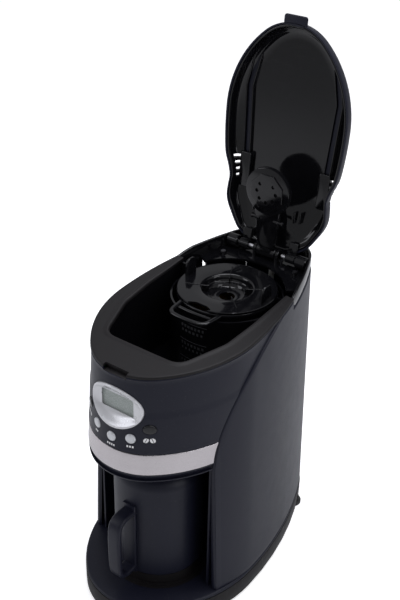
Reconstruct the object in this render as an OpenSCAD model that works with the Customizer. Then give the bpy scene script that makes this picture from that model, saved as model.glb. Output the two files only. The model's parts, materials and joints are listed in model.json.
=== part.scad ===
// Drip coffee maker with a built-in grinder, lid open at rest.
// Millimetres. Z up, front towards -Y, origin on the table under the widest
// part of the housing, on the machine's middle plane.

/* [Housing] */
// Half of the housing's greatest width at the steel band
body_half_w = 95; // [92:1:98]
// Radius of the rounded nose of the housing
nose_r = 69; // [66:1:71]
// How far the side panels flare outwards at the foot
flare = 12; // [8:1:14]
// Wall thickness of the moulded covers
wall = 2.6; // [2.2:0.1:3]
// Angle at which the top deck rises towards the back
deck_tilt = 4.75; // [4:0.25:5.5]

/* [Levels] */
// Height of the rubber feet
foot_h = 4; // [3:0.5:5]
// Top of the base, where the carafe stands
base_top = 30; // [28:1:32]
// Underside of the steel band
band_z = 222; // [220:1:224]
// Height of the steel band
band_h = 26; // [24:1:28]
// Height of the top deck above the table, at the widest part
deck_z = 354; // [352:1:356]

/* [Lid] */
// Depth of the hollow lid
lid_h = 26; // [24:1:28]
// Angle that the lid opens through
lid_open = 100; // [95:1:104]
// Angle that the shower arm swings through as the lid opens
arm_open = 90; // [86:1:92]

/* [Brewing] */
// Outer radius of the brew basket's rim
basket_r = 60; // [58:0.5:60]
// Distance of the brew basket's centre behind the origin
basket_y = 86; // [85:1:87]
// Radius of the shower head
shower_r = 30; // [28:1:30]
// Radius of the carafe
carafe_r = 54; // [50:1:56]
// Distance of the carafe's centre in front of the origin
carafe_y = -42; // [-44:1:-40]

/* [Front panel] */
// Radius of the three round buttons
button_r = 6; // [5:0.5:6.5]
// Half width of the display window
lcd_half_w = 22; // [20:1:23]
// Half height of the display window
lcd_half_h = 11; // [10:1:12]

/* [Hidden] */
$fn = 64;

eps = 0.01;
gap = 0.3;
big = 500;
nose_deg = 41;
flank_r = 420;
panel_col = [0.17, 0.17, 0.2];
deck_col = [0.19, 0.18, 0.18];
gloss_col = [0.05, 0.05, 0.06];
silver_col = [0.8, 0.8, 0.83];
steel_col = [0.72, 0.71, 0.74];

// Outlines: half width, widest y, nose radius, flank radius, corner radius, rear y
BODY = [body_half_w, 0, nose_r, flank_r, 38, 200];
DECK = [body_half_w - 1, 7, nose_r + 1, flank_r, 38, 201];
LID = [body_half_w - 13, 7, nose_r - 11, flank_r - 12, 0, 0];
housing_z = band_z + band_h + 0.6;
taper_top = 380;
panel_front = -55;
hinge_y = 171;
hinge_z = 365;
bay_r = 79;
bay_front = panel_front + 3 - carafe_y;
ceiling_z = band_z - 8.2;
tank_z = 256;
chamber_r = 67;
heater_z = 40;
board_y = -98;
lcd_z = 300;

function arc_pts(cx, cy, r, a0, a1, n) =
    [for (i = [0 : n - 1]) let (a = a0 + (a1 - a0) * i / n) [cx + r * cos(a), cy + r * sin(a)]];
function side_r(p) = (p[0] - p[2] * sin(nose_deg)) / (1 - sin(nose_deg));
function nose_cy(p) = p[1] - (side_r(p) - p[2]) * cos(nose_deg);
function corner_x(p) = p[0] - p[3] + sqrt(pow(p[3] - p[4], 2) - pow(p[5] - p[4] - p[1], 2));
function corner_deg(p) = asin((p[5] - p[4] - p[1]) / (p[3] - p[4]));
// Right half of a housing outline, from the nose to the rear, d outside outline p
function half_plan(p, d) = concat(
    arc_pts(0, nose_cy(p), p[2] + d, -90, nose_deg - 90, 8),
    arc_pts(p[0] - side_r(p), p[1], side_r(p) + d, nose_deg - 90, 0, 10),
    arc_pts(p[0] - p[3], p[1], p[3] + d, 0, corner_deg(p), 6),
    arc_pts(corner_x(p), p[5] - p[4], p[4] + d, corner_deg(p), 90, 8),
    [[corner_x(p), p[5] + d]]);
function plan(p, d) = let (h = half_plan(p, d))
    concat(h, [for (i = [len(h) - 1 : -1 : 1]) [-h[i][0], h[i][1]]]);
function ellipse(a, b, n = 48) = [for (i = [0 : n - 1]) [a * cos(i * 360 / n), b * sin(i * 360 / n)]];
function mix(a, b, t) = a + (b - a) * t;
function bezier(p0, p1, p2, p3, n) = [for (i = [0 : n]) let (t = i / n, s = 1 - t)
    s * s * s * p0 + 3 * s * s * t * p1 + 3 * s * t * t * p2 + t * t * t * p3];
// Share of the way from the steel band to the level where the taper ends
function taper(z) = (z - housing_z) / (taper_top - housing_z);

module slab(p, d, z, h) translate([0, 0, z]) linear_extrude(h) polygon(plan(p, d));

// Solid tower inside the flared side panels
module tower(d) hull() {
    slab(BODY, flare + d, foot_h, eps);
    slab(DECK, d, taper_top, eps);
}

// Solid block of the tapered upper housing
module upper(d) hull() {
    slab(BODY, d, housing_z, eps);
    slab(DECK, d, taper_top, eps);
}

module on_deck() translate([0, 0, deck_z]) rotate([deck_tilt, 0, 0]) children();
module deck_slice(z0, z1, y0, y1) on_deck()
    translate([-150, y0, z0]) cube([300, y1 - y0, z1 - z0]);

// Everything behind the curve where the side panels meet the front housing
module behind_groove(shift) translate([-150, shift, 0]) rotate([90, 0, 90]) linear_extrude(300)
    polygon(concat([[panel_front, -5]],
                   [for (q = bezier([panel_front, 205], [-52, 275], [-5, 342], [95, 364], 14)) [q[0], q[1] - shift]],
                   [[260, 372 - shift], [260, -5]]));

module ring(p, d_out, d_in, z, h) difference() {
    slab(p, d_out, z, h);
    slab(p, d_in, z - 1, h + 2);
}

module tube(r_out, r_in, h) difference() {
    cylinder(r = r_out, h = h);
    translate([0, 0, -1]) cylinder(r = r_in, h = h + 2);
}

module x_rod(r, x0, x1, y, z) translate([x0, y, z]) rotate([0, 90, 0]) cylinder(r = r, h = x1 - x0);
module y_prism(y0, y1) translate([0, y1, 0]) rotate([90, 0, 0]) linear_extrude(y1 - y0) children();

module rounded_rect(w, l, r) {
    square([w - 2 * r, l], center = true);
    square([w, l - 2 * r], center = true);
    for (x = [-1, 1], y = [-1, 1]) translate([x * (w / 2 - r), y * (l / 2 - r)]) circle(r = r);
}

// Round bar along a list of points, with rings of n corners squared up to the direction ref
module swept(path, r, ref, n = 10) {
    m = len(path);
    function dir(i) = let (a = path[max(i - 1, 0)], b = path[min(i + 1, m - 1)]) (b - a) / norm(b - a);
    function side(i) = let (c = cross(dir(i), ref)) c / norm(c);
    function corner(i, k) = let (u = side(i), v = cross(dir(i), u), a = k * 360 / n)
        path[i] + r * (cos(a) * u + sin(a) * v);
    polyhedron(
        points = [for (i = [0 : m - 1], k = [0 : n - 1]) corner(i, k)],
        faces = concat(
            [[for (k = [0 : n - 1]) k]],
            [[for (k = [n - 1 : -1 : 0]) (m - 1) * n + k]],
            [for (i = [0 : m - 2], k = [0 : n - 1])
                [i * n + k, (i + 1) * n + k, (i + 1) * n + (k + 1) % n, i * n + (k + 1) % n]]));
}

// ---------------------------------------------------------------- base

foot_places = [[-72, -78], [72, -78], [-66, 168], [66, 168]];
screw_places = [[-84, -20], [84, -20], [-84, 70], [84, 70], [-44, -112], [44, -112]];

module base_pan() color(deck_col) difference() {
    union() {
        ring(BODY, flare, flare - wall, foot_h, 22);
        slab(BODY, flare - 1, foot_h, wall);
        for (q = screw_places) translate([q[0], q[1], foot_h]) cylinder(r = 5, h = 21.8);
        for (q = foot_places) translate([q[0], q[1], foot_h]) cylinder(r = 8, h = 6);
        for (x = [-36, 36]) translate([x, 128, foot_h]) cylinder(r = 5, h = heater_z - foot_h);
    }
    for (q = screw_places) translate([q[0], q[1], -1]) {
        cylinder(r = 1.6, h = 40);
        cylinder(r = 3.4, h = foot_h + 3);
    }
    for (q = foot_places) translate([q[0], q[1], -1]) cylinder(r = 4, h = 20);
    for (i = [-2 : 2]) translate([i * 10 - 2, 90, -1]) cube([4, 50, 20]);
    translate([34, 205, 17]) rotate([-90, 0, 0]) cylinder(r = 6.5, h = 20, center = true);
}

module base_cover() color(panel_col) difference() {
    slab(BODY, flare - 0.6, foot_h + 22.3, base_top - foot_h - 22.3);
    translate([0, carafe_y, base_top - 1.6]) cylinder(r = 62.3, h = 10);
    translate([0, 120, 0]) linear_extrude(60) rounded_rect(110, 110, 12);
}

module rubber_feet() color([0.08, 0.08, 0.08]) for (q = foot_places) translate([q[0], q[1], 0]) {
    cylinder(r = 11, h = foot_h);
    cylinder(r = 4, h = foot_h + 6);
}

module screw(l) {
    cylinder(r = 3, h = 2);
    translate([0, 0, 2 - eps]) cylinder(r = 1.6, h = l);
}

module base_screws() color("silver") for (q = screw_places)
    translate([q[0], q[1], foot_h]) screw(14);

module carafe_rest_plate() color([0.12, 0.12, 0.13]) translate([0, carafe_y, base_top - 1.5]) difference() {
    cylinder(r = 62, h = 1.5);
    translate([0, 0, 0.8]) tube(59.5, 57.5, 2);
}

// ------------------------------------------------------------- carafe bay

module bay_back_wall() color(panel_col) translate([0, carafe_y, base_top + gap])
    linear_extrude(ceiling_z - base_top - 2 * gap) polygon(concat(
        [[bay_r + 2.5, bay_front]],
        arc_pts(0, 0, bay_r + 2.5, 0, 180, 36),
        [[-bay_r - 2.5, 0], [-bay_r - 2.5, bay_front], [-bay_r, bay_front]],
        arc_pts(0, 0, bay_r, 180, 0, 36),
        [[bay_r, 0], [bay_r, bay_front]]));

module bay_ceiling() color(panel_col) difference() {
    intersection() {
        slab(BODY, -5.6, ceiling_z, 2.5);
        translate([-120, -150, 0]) cube([240, 190, big]);
    }
    translate([0, carafe_y, 0]) cylinder(r = 9, h = big);
    translate([54, 41.5, 0]) cylinder(r = 10, h = big);
    for (s = [-1, 1]) translate([s * 82 - 5, -56, 0]) cube([10, 8, big]);
}

// ------------------------------------------------------- outer covers

module side_shell() difference() {
    intersection() {
        tower(0);
        behind_groove(0);
        deck_slice(-big, -14.3, -200, 300);
        translate([gap, -200, base_top + gap]) cube([200, 500, big]);
    }
    intersection() {
        tower(-wall);
        behind_groove(wall);
    }
    translate([-82, -200, 0]) cube([164, 170, ceiling_z]);
    intersection() {
        tower(-9.5);
        translate([-150, -200, ceiling_z - 1]) cube([300, 500, big]);
    }
    translate([-46.3, 150, 0]) cube([92.6, 100, big]);
}

module side_top(x_side) difference() {
    intersection() {
        tower(0);
        behind_groove(0);
        deck_slice(-14.4, -3.3, -200, 96.8);
        translate([x_side > 0 ? 0 : -200, -200, 0]) cube([200, 500, big]);
    }
    tower(-wall);
}

module side_panel_right() color(panel_col) {
    side_shell();
    side_top(1);
}

module side_panel_left() color(panel_col) difference() {
    union() {
        mirror([1, 0, 0]) side_shell();
        side_top(-1);
    }
    overflow_window();
}

module overflow_window() translate([-110, 131, 331]) cube([60, 11, 15.5]);

module rear_cover() color(panel_col) difference() {
    intersection() {
        tower(0);
        translate([-46, 150, base_top + gap]) cube([92, 100, big]);
        deck_slice(-big, -14.3, -200, 300);
    }
    tower(-wall);
    for (i = [0 : 5], x = [-24, 0, 24]) translate([x - 9, 150, 90 + i * 9]) cube([18, 100, 3.5]);
}

module on_nose(x, z) {
    r = mix(BODY[2], DECK[2], taper(z));
    y = mix(nose_cy(BODY), nose_cy(DECK), taper(z));
    translate([0, y, z]) rotate([0, 0, asin(x / r)]) translate([0, -r, 0]) rotate([-90, 0, 0]) children();
}

round_buttons = [[-23.4, 267], [0, 262.5], [23.4, 267]];
oval_buttons = [[-41.5, 281], [41.5, 281]];

module front_housing() color(panel_col) difference() {
    union() {
        difference() {
            intersection() {
                upper(0);
                translate([-150, -200, housing_z]) cube([300, 400, big]);
                deck_slice(-big, -3.3, -200, 300);
            }
            upper(-wall);
        }
        ring(BODY, -1.5, -4.2, band_z + gap, housing_z - band_z - gap + eps);
    }
    behind_groove(-0.5);
    translate([0, 0, lcd_z]) y_prism(-200, -60) polygon(ellipse(35.3, 25.3));
    for (b = round_buttons) on_nose(b[0], b[1]) translate([0, 0, -5]) cylinder(r = button_r + 0.3, h = 12);
    for (b = oval_buttons) on_nose(b[0], b[1]) translate([0, 0, -5])
        linear_extrude(12) polygon(ellipse(7.8, 6.3));
}

module steel_band() color(steel_col) difference() {
    ring(BODY, 0.3, -1.2, band_z + gap, band_h - gap);
    behind_groove(-0.5);
}

module lower_lip() color(panel_col) difference() {
    ring(BODY, -0.6, -4.2, band_z - 11, 11);
    behind_groove(-0.5);
}

// ----------------------------------------------------------- top deck

// Outline of the filling opening, d outside it, closed off at y_end
module opening(d, y_end) intersection() {
    offset(r = 10 + d, $fn = 32) offset(delta = -10)
        polygon([[-50, -72], [50, -72], [70, -15], [73, 30], [73, 130], [-73, 130], [-73, 30], [-70, -15]]);
    translate([-100, -100]) square([200, 100 + y_end]);
}

module top_deck() color(deck_col) difference() {
    union() {
        intersection() {
            upper(0);
            deck_slice(-3, 0, -200, 97);
        }
        on_deck() linear_extrude(0.5) opening(1.5, 97);
    }
    on_deck() translate([0, 0, -10]) linear_extrude(20) opening(0, 110);
    on_deck() translate([-16, -130, -1.6]) cube([32, 19, 10]);
}

module water_tank() color(gloss_col) difference() {
    union() {
        difference() {
            translate([0, 0, tank_z]) linear_extrude(110) opening(2.4, 94);
            translate([0, 0, tank_z + 2.4]) linear_extrude(120) opening(0.2, 91.8);
            deck_slice(-3.3, 60, -200, 300);
        }
        translate([0, basket_y, tank_z]) cylinder(r = chamber_r, h = 88);
    }
    translate([0, basket_y, tank_z + 2.4]) cylinder(r = chamber_r - 2.2, h = 120);
    translate([0, basket_y, 0]) cylinder(r = 5.2, h = big);
    translate([0, 34, 0]) cylinder(r = 5, h = tank_z + 20);
    translate([36, -30, 0]) cylinder(r = 4, h = tank_z + 20);
}

boss_places = [[-49, 146], [22, 168], [50, 154]];

module rear_collar() color(gloss_col) difference() {
    union() {
        difference() {
            intersection() {
                upper(0);
                deck_slice(-14, 4, 97.3, 300);
            }
            upper(-3.5);
        }
        difference() {
            intersection() {
                upper(-3.2);
                deck_slice(-42, -13.9, 97.3, 150);
            }
            upper(-5.4);
        }
        difference() {
            intersection() {
                upper(-3.4);
                deck_slice(-14, -11.4, 128, 300);
            }
            translate([0, basket_y, 0]) cylinder(r = chamber_r + 1, h = big);
        }
        on_deck() for (q = boss_places) translate([q[0], q[1], -12]) cylinder(r = 5, h = 4);
        for (s = [-1, 1]) translate([s * 49.5 - 7.5, hinge_y - 8, hinge_z - 10]) cube([15, 16, 10]);
        for (s = [-1, 1]) x_rod(8, s * 49.5 - 7.5, s * 49.5 + 7.5, hinge_y, hinge_z);
        for (s = [-1, 1]) translate([s * 16 - 2, hinge_y - 7, hinge_z - 15]) cube([4, 14, 15]);
        for (s = [-1, 1]) x_rod(7, s * 16 - 2, s * 16 + 2, hinge_y, hinge_z);
    }
    for (s = [-1, 1]) x_rod(2.5, s * 49.5 - 8, s * 49.5 + 8, hinge_y, hinge_z);
    x_rod(3, -30, 30, hinge_y, hinge_z);
    on_deck() for (q = boss_places) translate([q[0], q[1], -20]) cylinder(r = 1.7, h = 30);
    translate([0, 184, 340]) cylinder(r = 5.5, h = 22);
    overflow_window();
}

module collar_screws() color("silver") on_deck() for (q = boss_places)
    translate([q[0], q[1], -8]) mirror([0, 0, 1]) translate([0, 0, -2]) screw(9);

module hinge_pins() color("silver") for (s = [-1, 1])
    x_rod(2.5, s > 0 ? 20.5 : -56, s > 0 ? 56 : -20.5, hinge_y, hinge_z);

module arm_pivot_pin() color("silver") x_rod(3, -18, 18, hinge_y, hinge_z);

// ---------------------------------------------------------- front panel

module lcd_bezel() color(silver_col) difference() {
    intersection() {
        difference() {
            upper(1);
            upper(-5);
        }
        translate([0, 0, lcd_z]) y_prism(-200, -60) polygon(ellipse(35, 25));
    }
    translate([0, 0, lcd_z]) y_prism(-200, -60) rounded_rect(2 * lcd_half_w, 2 * lcd_half_h, 1.5);
    translate([0, 0, lcd_z]) y_prism(-112.3, -100) rounded_rect(2 * lcd_half_w + 4.6, 2 * lcd_half_h + 4.6, 2);
}

module lcd_window() color([0.7, 0.75, 0.72, 0.5]) translate([0, 0, lcd_z])
    y_prism(-112.1, -110.6) rounded_rect(2 * lcd_half_w + 4, 2 * lcd_half_h + 4, 2);

module lcd_panel() color([0.5, 0.55, 0.52]) translate([0, 0, lcd_z])
    y_prism(-110.4, -106.4) rounded_rect(2 * lcd_half_w + 6, 2 * lcd_half_h + 6, 1);

module control_board() color([0.1, 0.35, 0.2]) {
    translate([-40, board_y, 252]) cube([80, 1.6, 80]);
    for (x = [-17, 0, 17]) translate([x - 3, board_y - 1.5, (x == 0 ? 262.5 : 267) - 3]) cube([6, 2, 6]);
    for (x = [-35, 35]) translate([x - 3, board_y - 1.5, 278]) cube([6, 2, 6]);
    translate([-14, board_y + 1.5, 285]) cube([28, 3, 18]);
    translate([-24, board_y - 8, 296]) cube([48, 8.1, 8]);
}

// Moulded key cap with a stop flange behind the housing wall and a stem
module key(stem) {
    translate([0, 0, -1.2]) children();
    translate([0, 0, 6]) cylinder(r = 8.2, h = 1.4);
    translate([0, 0, 7]) cylinder(r = 2.2, h = stem - 7);
}

module round_key(i, stem) on_nose(round_buttons[i][0], round_buttons[i][1])
    key(stem) cylinder(r = button_r, h = 8);
module oval_key(i, stem) on_nose(oval_buttons[i][0], oval_buttons[i][1])
    key(stem) linear_extrude(8) polygon(ellipse(7.5, 6));

module button_hour() color(silver_col) round_key(0, 19.5);
module button_program() color(silver_col) round_key(1, 23);
module button_minute() color(silver_col) round_key(2, 19.5);
module button_brew() color(gloss_col) oval_key(0, 9.6);
module button_grind_off() color(gloss_col) oval_key(1, 9.6);

// ------------------------------------------------------- water heating

module heater_block() color([0.66, 0.67, 0.68]) translate([0, 118, heater_z]) difference() {
    tube(46, 27, 22);
    translate([-50, -60, -1]) cube([100, 52, 30]);
}

module thermostat() color([0.85, 0.82, 0.7]) translate([0, 154, 62.2]) {
    cylinder(r = 8, h = 7);
    translate([-12, -2.5, 0]) cube([24, 5, 1.2]);
    translate([-4, -1, 6]) cube([1.2, 3, 7]);
    translate([3, -1, 6]) cube([1.2, 3, 7]);
}

module thermal_fuse() color([0.9, 0.88, 0.8]) x_rod(2.4, -11, 11, 166.8, 51);

lean = [0.13, 1, 0.21];
cold_path = bezier([36, -30, tank_z - 0.3], [36, -30, 228], [60, 60, 236], [66, 78, 170], 16);
module cold_water_tube() color([0.85, 0.85, 0.82]) {
    swept(concat(cold_path, bezier([66, 78, 170], [69, 85, 144], [56, 112, 100], [40, 110, 90], 10),
                 bezier([40, 110, 90], [38, 109.5, 86], [36.5, 116, 74], [36.5, 116, 62.2], 6)), 4, lean);
}

module hot_water_tube() color([0.85, 0.85, 0.82])
    swept(concat(bezier([-36.5, 116, 62.2], [-36.5, 116, 100], [-46, 165, 110], [-40, 172, 150], 12),
                 bezier([-40, 172, 150], [-30, 182, 220], [0, 184, 270], [0, 184, 338], 12),
                 bezier([0, 184, 346], [0, 184, 358], [0, 183, 359], [0, 179.8, 360.4], 5)), 3.8, lean);

module check_valve() color([0.9, 0.9, 0.9]) translate([66, 78, 170])
    rotate([14.9, -5.2, 0]) translate([0, 0, -6]) tube(7.5, 4.7, 12);

module power_board() color([0.1, 0.35, 0.2]) translate([-62, 60, base_top + gap]) {
    cube([1.6, 60, 70]);
    translate([1.5, 8, 10]) cube([14, 20, 24]);
    translate([1.5, 36, 14]) cube([12, 16, 16]);
    translate([1.5, 10, 46]) cube([9, 30, 12]);
}

// -------------------------------------------------------------- grinder

module grinder_motor() color([0.6, 0.6, 0.62]) translate([0, basket_y, 160]) {
    difference() {
        union() {
            cylinder(r = 29, h = 62);
            cylinder(r = 9, h = 72);
        }
        translate([0, 0, 30]) cylinder(r = 3.04, h = 60);
    }
}

module motor_mount() color([0.2, 0.2, 0.22]) translate([0, basket_y, 222.4]) {
    tube(40, 9.4, 3);
    for (a = [45 : 90 : 315]) rotate([0, 0, a]) translate([35, 0, 3 - eps]) cylinder(r = 4, h = 30.4);
}

module motor_shaft() color("silver") translate([0, basket_y, 0]) {
    translate([0, 0, 191]) cylinder(r = 3, h = 71);
    translate([0, 0, 260]) cylinder(r = 5.6, h = 5.6, $fn = 6);
}

module blade_coupling() color([0.12, 0.12, 0.13]) translate([0, basket_y, 0]) {
    difference() {
        translate([0, 0, 259.6]) cylinder(r = 10, h = 9);
        translate([0, 0, 259]) cylinder(r = 6, h = 7, $fn = 6);
    }
    translate([0, 0, 268.5]) cylinder(r = 3.5, h = 9.5);
}

module grinder_blade() color("silver") translate([0, basket_y, 0]) difference() {
    union() {
        translate([0, 0, 274]) cylinder(r = 7, h = 7);
        for (a = [0, 180]) rotate([0, 0, a]) translate([0, -5, 275]) {
            rotate([0, -8, 0]) cube([28, 10, 1.6]);
        }
    }
    translate([0, 0, 270]) cylinder(r = 3.5, h = 8);
}

// --------------------------------------------------------- brew basket

module brew_basket() color(gloss_col) translate([0, basket_y, 0]) {
    difference() {
        union() {
            translate([0, 0, 270]) cylinder(r = basket_r - 1.5, h = 78);
            translate([0, 0, 345]) cylinder(r = basket_r, h = 4.4);
            translate([0, -68, 345]) linear_extrude(4.4) rounded_rect(52, 30, 9);
        }
        translate([0, 0, 272.4]) cylinder(r = basket_r - 3.8, h = 100);
        translate([0, -69.5, 340]) linear_extrude(20) rounded_rect(38, 13, 5);
        translate([0, 0, 260]) cylinder(r = 3.56, h = 30);
        translate([0, -52, 260]) cylinder(r = 3, h = 30);
    }
}

module permanent_filter() color([0.75, 0.6, 0.3]) translate([0, basket_y, 0]) {
    translate([0, 0, 276]) tube(54.5, 53.7, 66);
    translate([0, 0, 341.5]) tube(55.8, 53.7, 2.5);
    translate([0, 0, 273.4]) tube(54.5, 33, 3);
}

module basket_lid() color(gloss_col) translate([0, basket_y, 0]) {
    rotate_extrude() polygon([[59.5, 350], [59.5, 352.4], [30, 352.4], [28.5, 344.6], [22, 343.6],
                              [20.5, 340.8], [9, 340.2], [9, 338.4], [21.5, 338.6], [23.5, 341.6],
                              [30, 342.6], [31.4, 350]]);
    for (a = [35, 125, 215, 325]) rotate([0, 0, a]) translate([33, -1, 352.3]) cube([24, 2, 1]);
    for (s = [-1, 1]) translate([s * 54 - 1.4, -9, 352.3]) rotate([90, 0, 90]) linear_extrude(2.8)
        union() {
            square([18, 12]);
            translate([9, 12]) circle(r = 9);
        }
}

// ------------------------------------------------------------------ lid

module opened(angle) translate([0, hinge_y, hinge_z]) rotate([-angle, 0, 0])
    translate([0, -hinge_y, -hinge_z]) children();

// Right half of the lid's rim: nose, flank, waist and the ears beside the hinge
waist = [[77, 66], [71, 80], [68.5, 92], [70, 106], [70, 118], [67, 128], [61, 139], [52, 153],
         [43, 160], [33, 166], [20, 171]];
lid_half = concat(
    arc_pts(0, nose_cy(LID), LID[2], -90, nose_deg - 90, 10),
    arc_pts(LID[0] - side_r(LID), LID[1], side_r(LID), nose_deg - 90, 0, 10),
    arc_pts(LID[0] - LID[3], LID[1], LID[3], 0, 7, 4),
    waist);
lid_rim = concat(lid_half, [for (i = [len(lid_half) - 1 : -1 : 1]) [-lid_half[i][0], lid_half[i][1]]]);
// The lid gets thinner towards its hinge
function lid_share(y) = y < 110 ? 1 : 1 - 0.62 * pow((y - 110) / 61, 2);
function lid_ring(d, z) = [for (q = lid_rim)
    [q[0] * (1 - d / 80), 36 + (q[1] - 36) * (1 - d / 138), z > 1 ? z * lid_share(q[1]) : z]];

// Solid through a stack of rings that are each mirrored in x = 0 and start at the nose
module loft(rings) {
    n = len(rings[0]);
    top = (len(rings) - 1) * n;
    function twin(i) = i == 0 ? 0 : n - i;
    function cap(i) = i == 0 ? [0, 1, twin(1)] : [i, i + 1, twin(i + 1), twin(i)];
    polyhedron(
        points = [for (r = rings) each r],
        faces = concat(
            [for (i = [0 : (n - 1) / 2 - 1]) cap(i)],
            [for (i = [0 : (n - 1) / 2 - 1]) let (c = cap(i)) [for (k = [len(c) - 1 : -1 : 0]) top + c[k]]],
            [for (j = [0 : n : top - 1], i = [0 : n - 1]) [j + i, j + n + i, j + n + (i + 1) % n]],
            [for (j = [0 : n : top - 1], i = [0 : n - 1]) [j + i, j + n + (i + 1) % n, j + (i + 1) % n]]));
}

// Domed block over the lid's rim, d inside it, from z0 up, its top dz lower
module lid_block(d, z0, dz) on_deck()
    loft([for (q = [[0, 0], [0.5, 9], [2.5, 15], [7, 20.5], [14, 24], [24, lid_h]])
        lid_ring(d + q[0], q[1] == 0 ? z0 : q[1] - dz)]);

module lid_vents() on_deck() for (s = [-1, 1], i = [0 : 3])
    translate([s * 63 - 12, 68 + i * 7.6, 9]) cube([24, 3.6, 40]);

module lid_outer_shell() color(panel_col) opened(lid_open) difference() {
    union() {
        difference() {
            lid_block(0, 0.6, 0);
            lid_block(2.2, -5, 2.2);
        }
        on_deck() translate([-15, -112, 0.6]) cube([30, 10.4, 3]);
    }
    lid_vents();
    x_rod(8.8, -58, 58, hinge_y, hinge_z);
    for (s = [-1, 1]) translate([s * 33.25 - 6.6, hinge_y - 20, hinge_z + 0.7]) cube([13.2, 30, 6.6]);
}

module lid_inner_liner() color(gloss_col) opened(lid_open) difference() {
    union() {
        difference() {
            lid_block(2.8, 1.8, 2.6);
            lid_block(4.9, -5, 4.7);
            x_rod(8.8, -58, 58, hinge_y, hinge_z);
        }
        on_deck() for (s = [-1, 1]) {
            translate([s * 25.6 - 1.2, 116, 6]) cube([2.4, 14, 7]);
            translate([s * 58 - 1, -20, 16.5]) cube([2, 80, 5]);
        }
        for (s = [-1, 1]) {
            x_rod(5.5, s * 33.75 - 6.75, s * 33.75 + 6.75, hinge_y, hinge_z);
            translate([s * 33.25 - 6.25, hinge_y - 20, hinge_z + 1]) cube([12.5, 20, 6]);
        }
    }
    for (s = [-1, 1]) x_rod(2.55, s * 33.75 - 8, s * 33.75 + 8, hinge_y, hinge_z);
    lid_vents();
}

// ------------------------------------------------------- shower arm

arm_drop = 11.5;
head_y = hinge_y - 82;

module shower_arm() color(gloss_col) opened(arm_open) difference() {
    union() {
        translate([0, head_y, hinge_z - arm_drop + 2]) cylinder(r = shower_r, h = 7);
        translate([0, head_y, hinge_z - arm_drop + 8]) cylinder(r = shower_r - 3, h = 5);
        translate([0, 0, hinge_z - arm_drop + 4]) linear_extrude(7)
            polygon([[-18, head_y + 22], [18, head_y + 22], [12, hinge_y - 12], [8, hinge_y - 5],
                     [-8, hinge_y - 5], [-12, hinge_y - 12]]);
        translate([-8, hinge_y - 9, hinge_z - arm_drop + 4]) cube([16, 9, 8]);
        x_rod(7.5, -13, 13, hinge_y, hinge_z);
        x_rod(2.5, -22.5, 22.5, hinge_y - 45, hinge_z - arm_drop + 6);
    }
    x_rod(3.05, -14, 14, hinge_y, hinge_z);
}

module shower_cap() color(gloss_col) opened(arm_open) difference() {
    translate([0, head_y, hinge_z - arm_drop]) rotate([0, 0, 22.5]) cylinder(r = 23.5, h = 1.98, $fn = 8);
    for (a = [0 : 45 : 270]) rotate_about_head(a - 45) cylinder(r = 1.5, h = 10);
}

module rotate_about_head(a) translate([0, head_y, hinge_z - arm_drop - 3]) rotate([0, 0, a])
    translate([13, 0, 0]) children();

// ------------------------------------------------- drip stop and duct

module drip_channel() color([0.15, 0.15, 0.16]) difference() {
    union() {
        translate([-9, -52, 226]) cube([18, 92, 17]);
        translate([0, 34, 240]) cylinder(r = 7, h = 15.7);
        translate([0, carafe_y, ceiling_z + 2.8]) cylinder(r = 9, h = 12);
    }
    translate([-7, -50, 228]) cube([14, 88, 13]);
    translate([0, 34, 230]) cylinder(r = 5, h = 40);
    translate([0, carafe_y, 200]) cylinder(r = 7, h = 35);
}

module drip_plunger() color([0.2, 0.2, 0.2]) translate([0, carafe_y, 0]) {
    translate([0, 0, 203.8]) cylinder(r = 8, h = 2.4);
    translate([0, 0, 206]) cylinder(r = 2.4, h = 23);
    translate([0, 0, 219]) cylinder(r = 6.6, h = 3);
}

spring_path = [for (i = [0 : 80]) let (a = i * 360 / 16)
    [5 * cos(a), carafe_y + 5 * sin(a), 223 + 15 * i / 80]];
module drip_spring() color("silver") swept(spring_path, 0.5, [0, 0, 1], 6);

module cord_gland() color([0.06, 0.06, 0.06]) translate([34, 0, 17]) rotate([-90, 0, 0]) difference() {
    union() {
        translate([0, 0, 196]) cylinder(r = 6.4, h = 18);
        translate([0, 0, 212.1]) cylinder(r = 9, h = 3);
    }
    translate([0, 0, 190]) cylinder(r = 3.6, h = 40);
}

// ---------------------------------------------------------------- carafe

module carafe_body() color(gloss_col) translate([0, carafe_y, 0]) rotate_extrude($fn = 96)
    polygon([[carafe_r, 44], [carafe_r, 172], [carafe_r - 3, 179], [carafe_r - 12, 186],
             [carafe_r - 14, 186], [carafe_r - 14, 184], [carafe_r - 5, 178], [carafe_r - 2.2, 171],
             [carafe_r - 2.2, 44]]);

module carafe_liner() color([0.7, 0.7, 0.72]) translate([0, carafe_y, 0]) rotate_extrude($fn = 96)
    polygon([[0, 40], [carafe_r - 12, 40], [carafe_r - 6, 46], [carafe_r - 6, 168],
             [carafe_r - 14.4, 180], [carafe_r - 14.4, 192], [carafe_r - 16, 192], [carafe_r - 16, 179],
             [carafe_r - 7.6, 167], [carafe_r - 7.6, 47], [carafe_r - 13, 42], [0, 42]]);

module carafe_base() color([0.1, 0.1, 0.1]) translate([0, carafe_y, base_top + 0.4]) {
    cylinder(r = carafe_r - 2.4, h = 3);
    tube(carafe_r - 2.4, carafe_r - 5, 16);
    translate([0, 0, 3 - eps]) tube(12, 9, 6.6);
    difference() {
        cylinder(r = carafe_r, h = 13);
        translate([0, 0, 2.9]) cylinder(r = carafe_r - 2.41, h = 20);
    }
}

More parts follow.
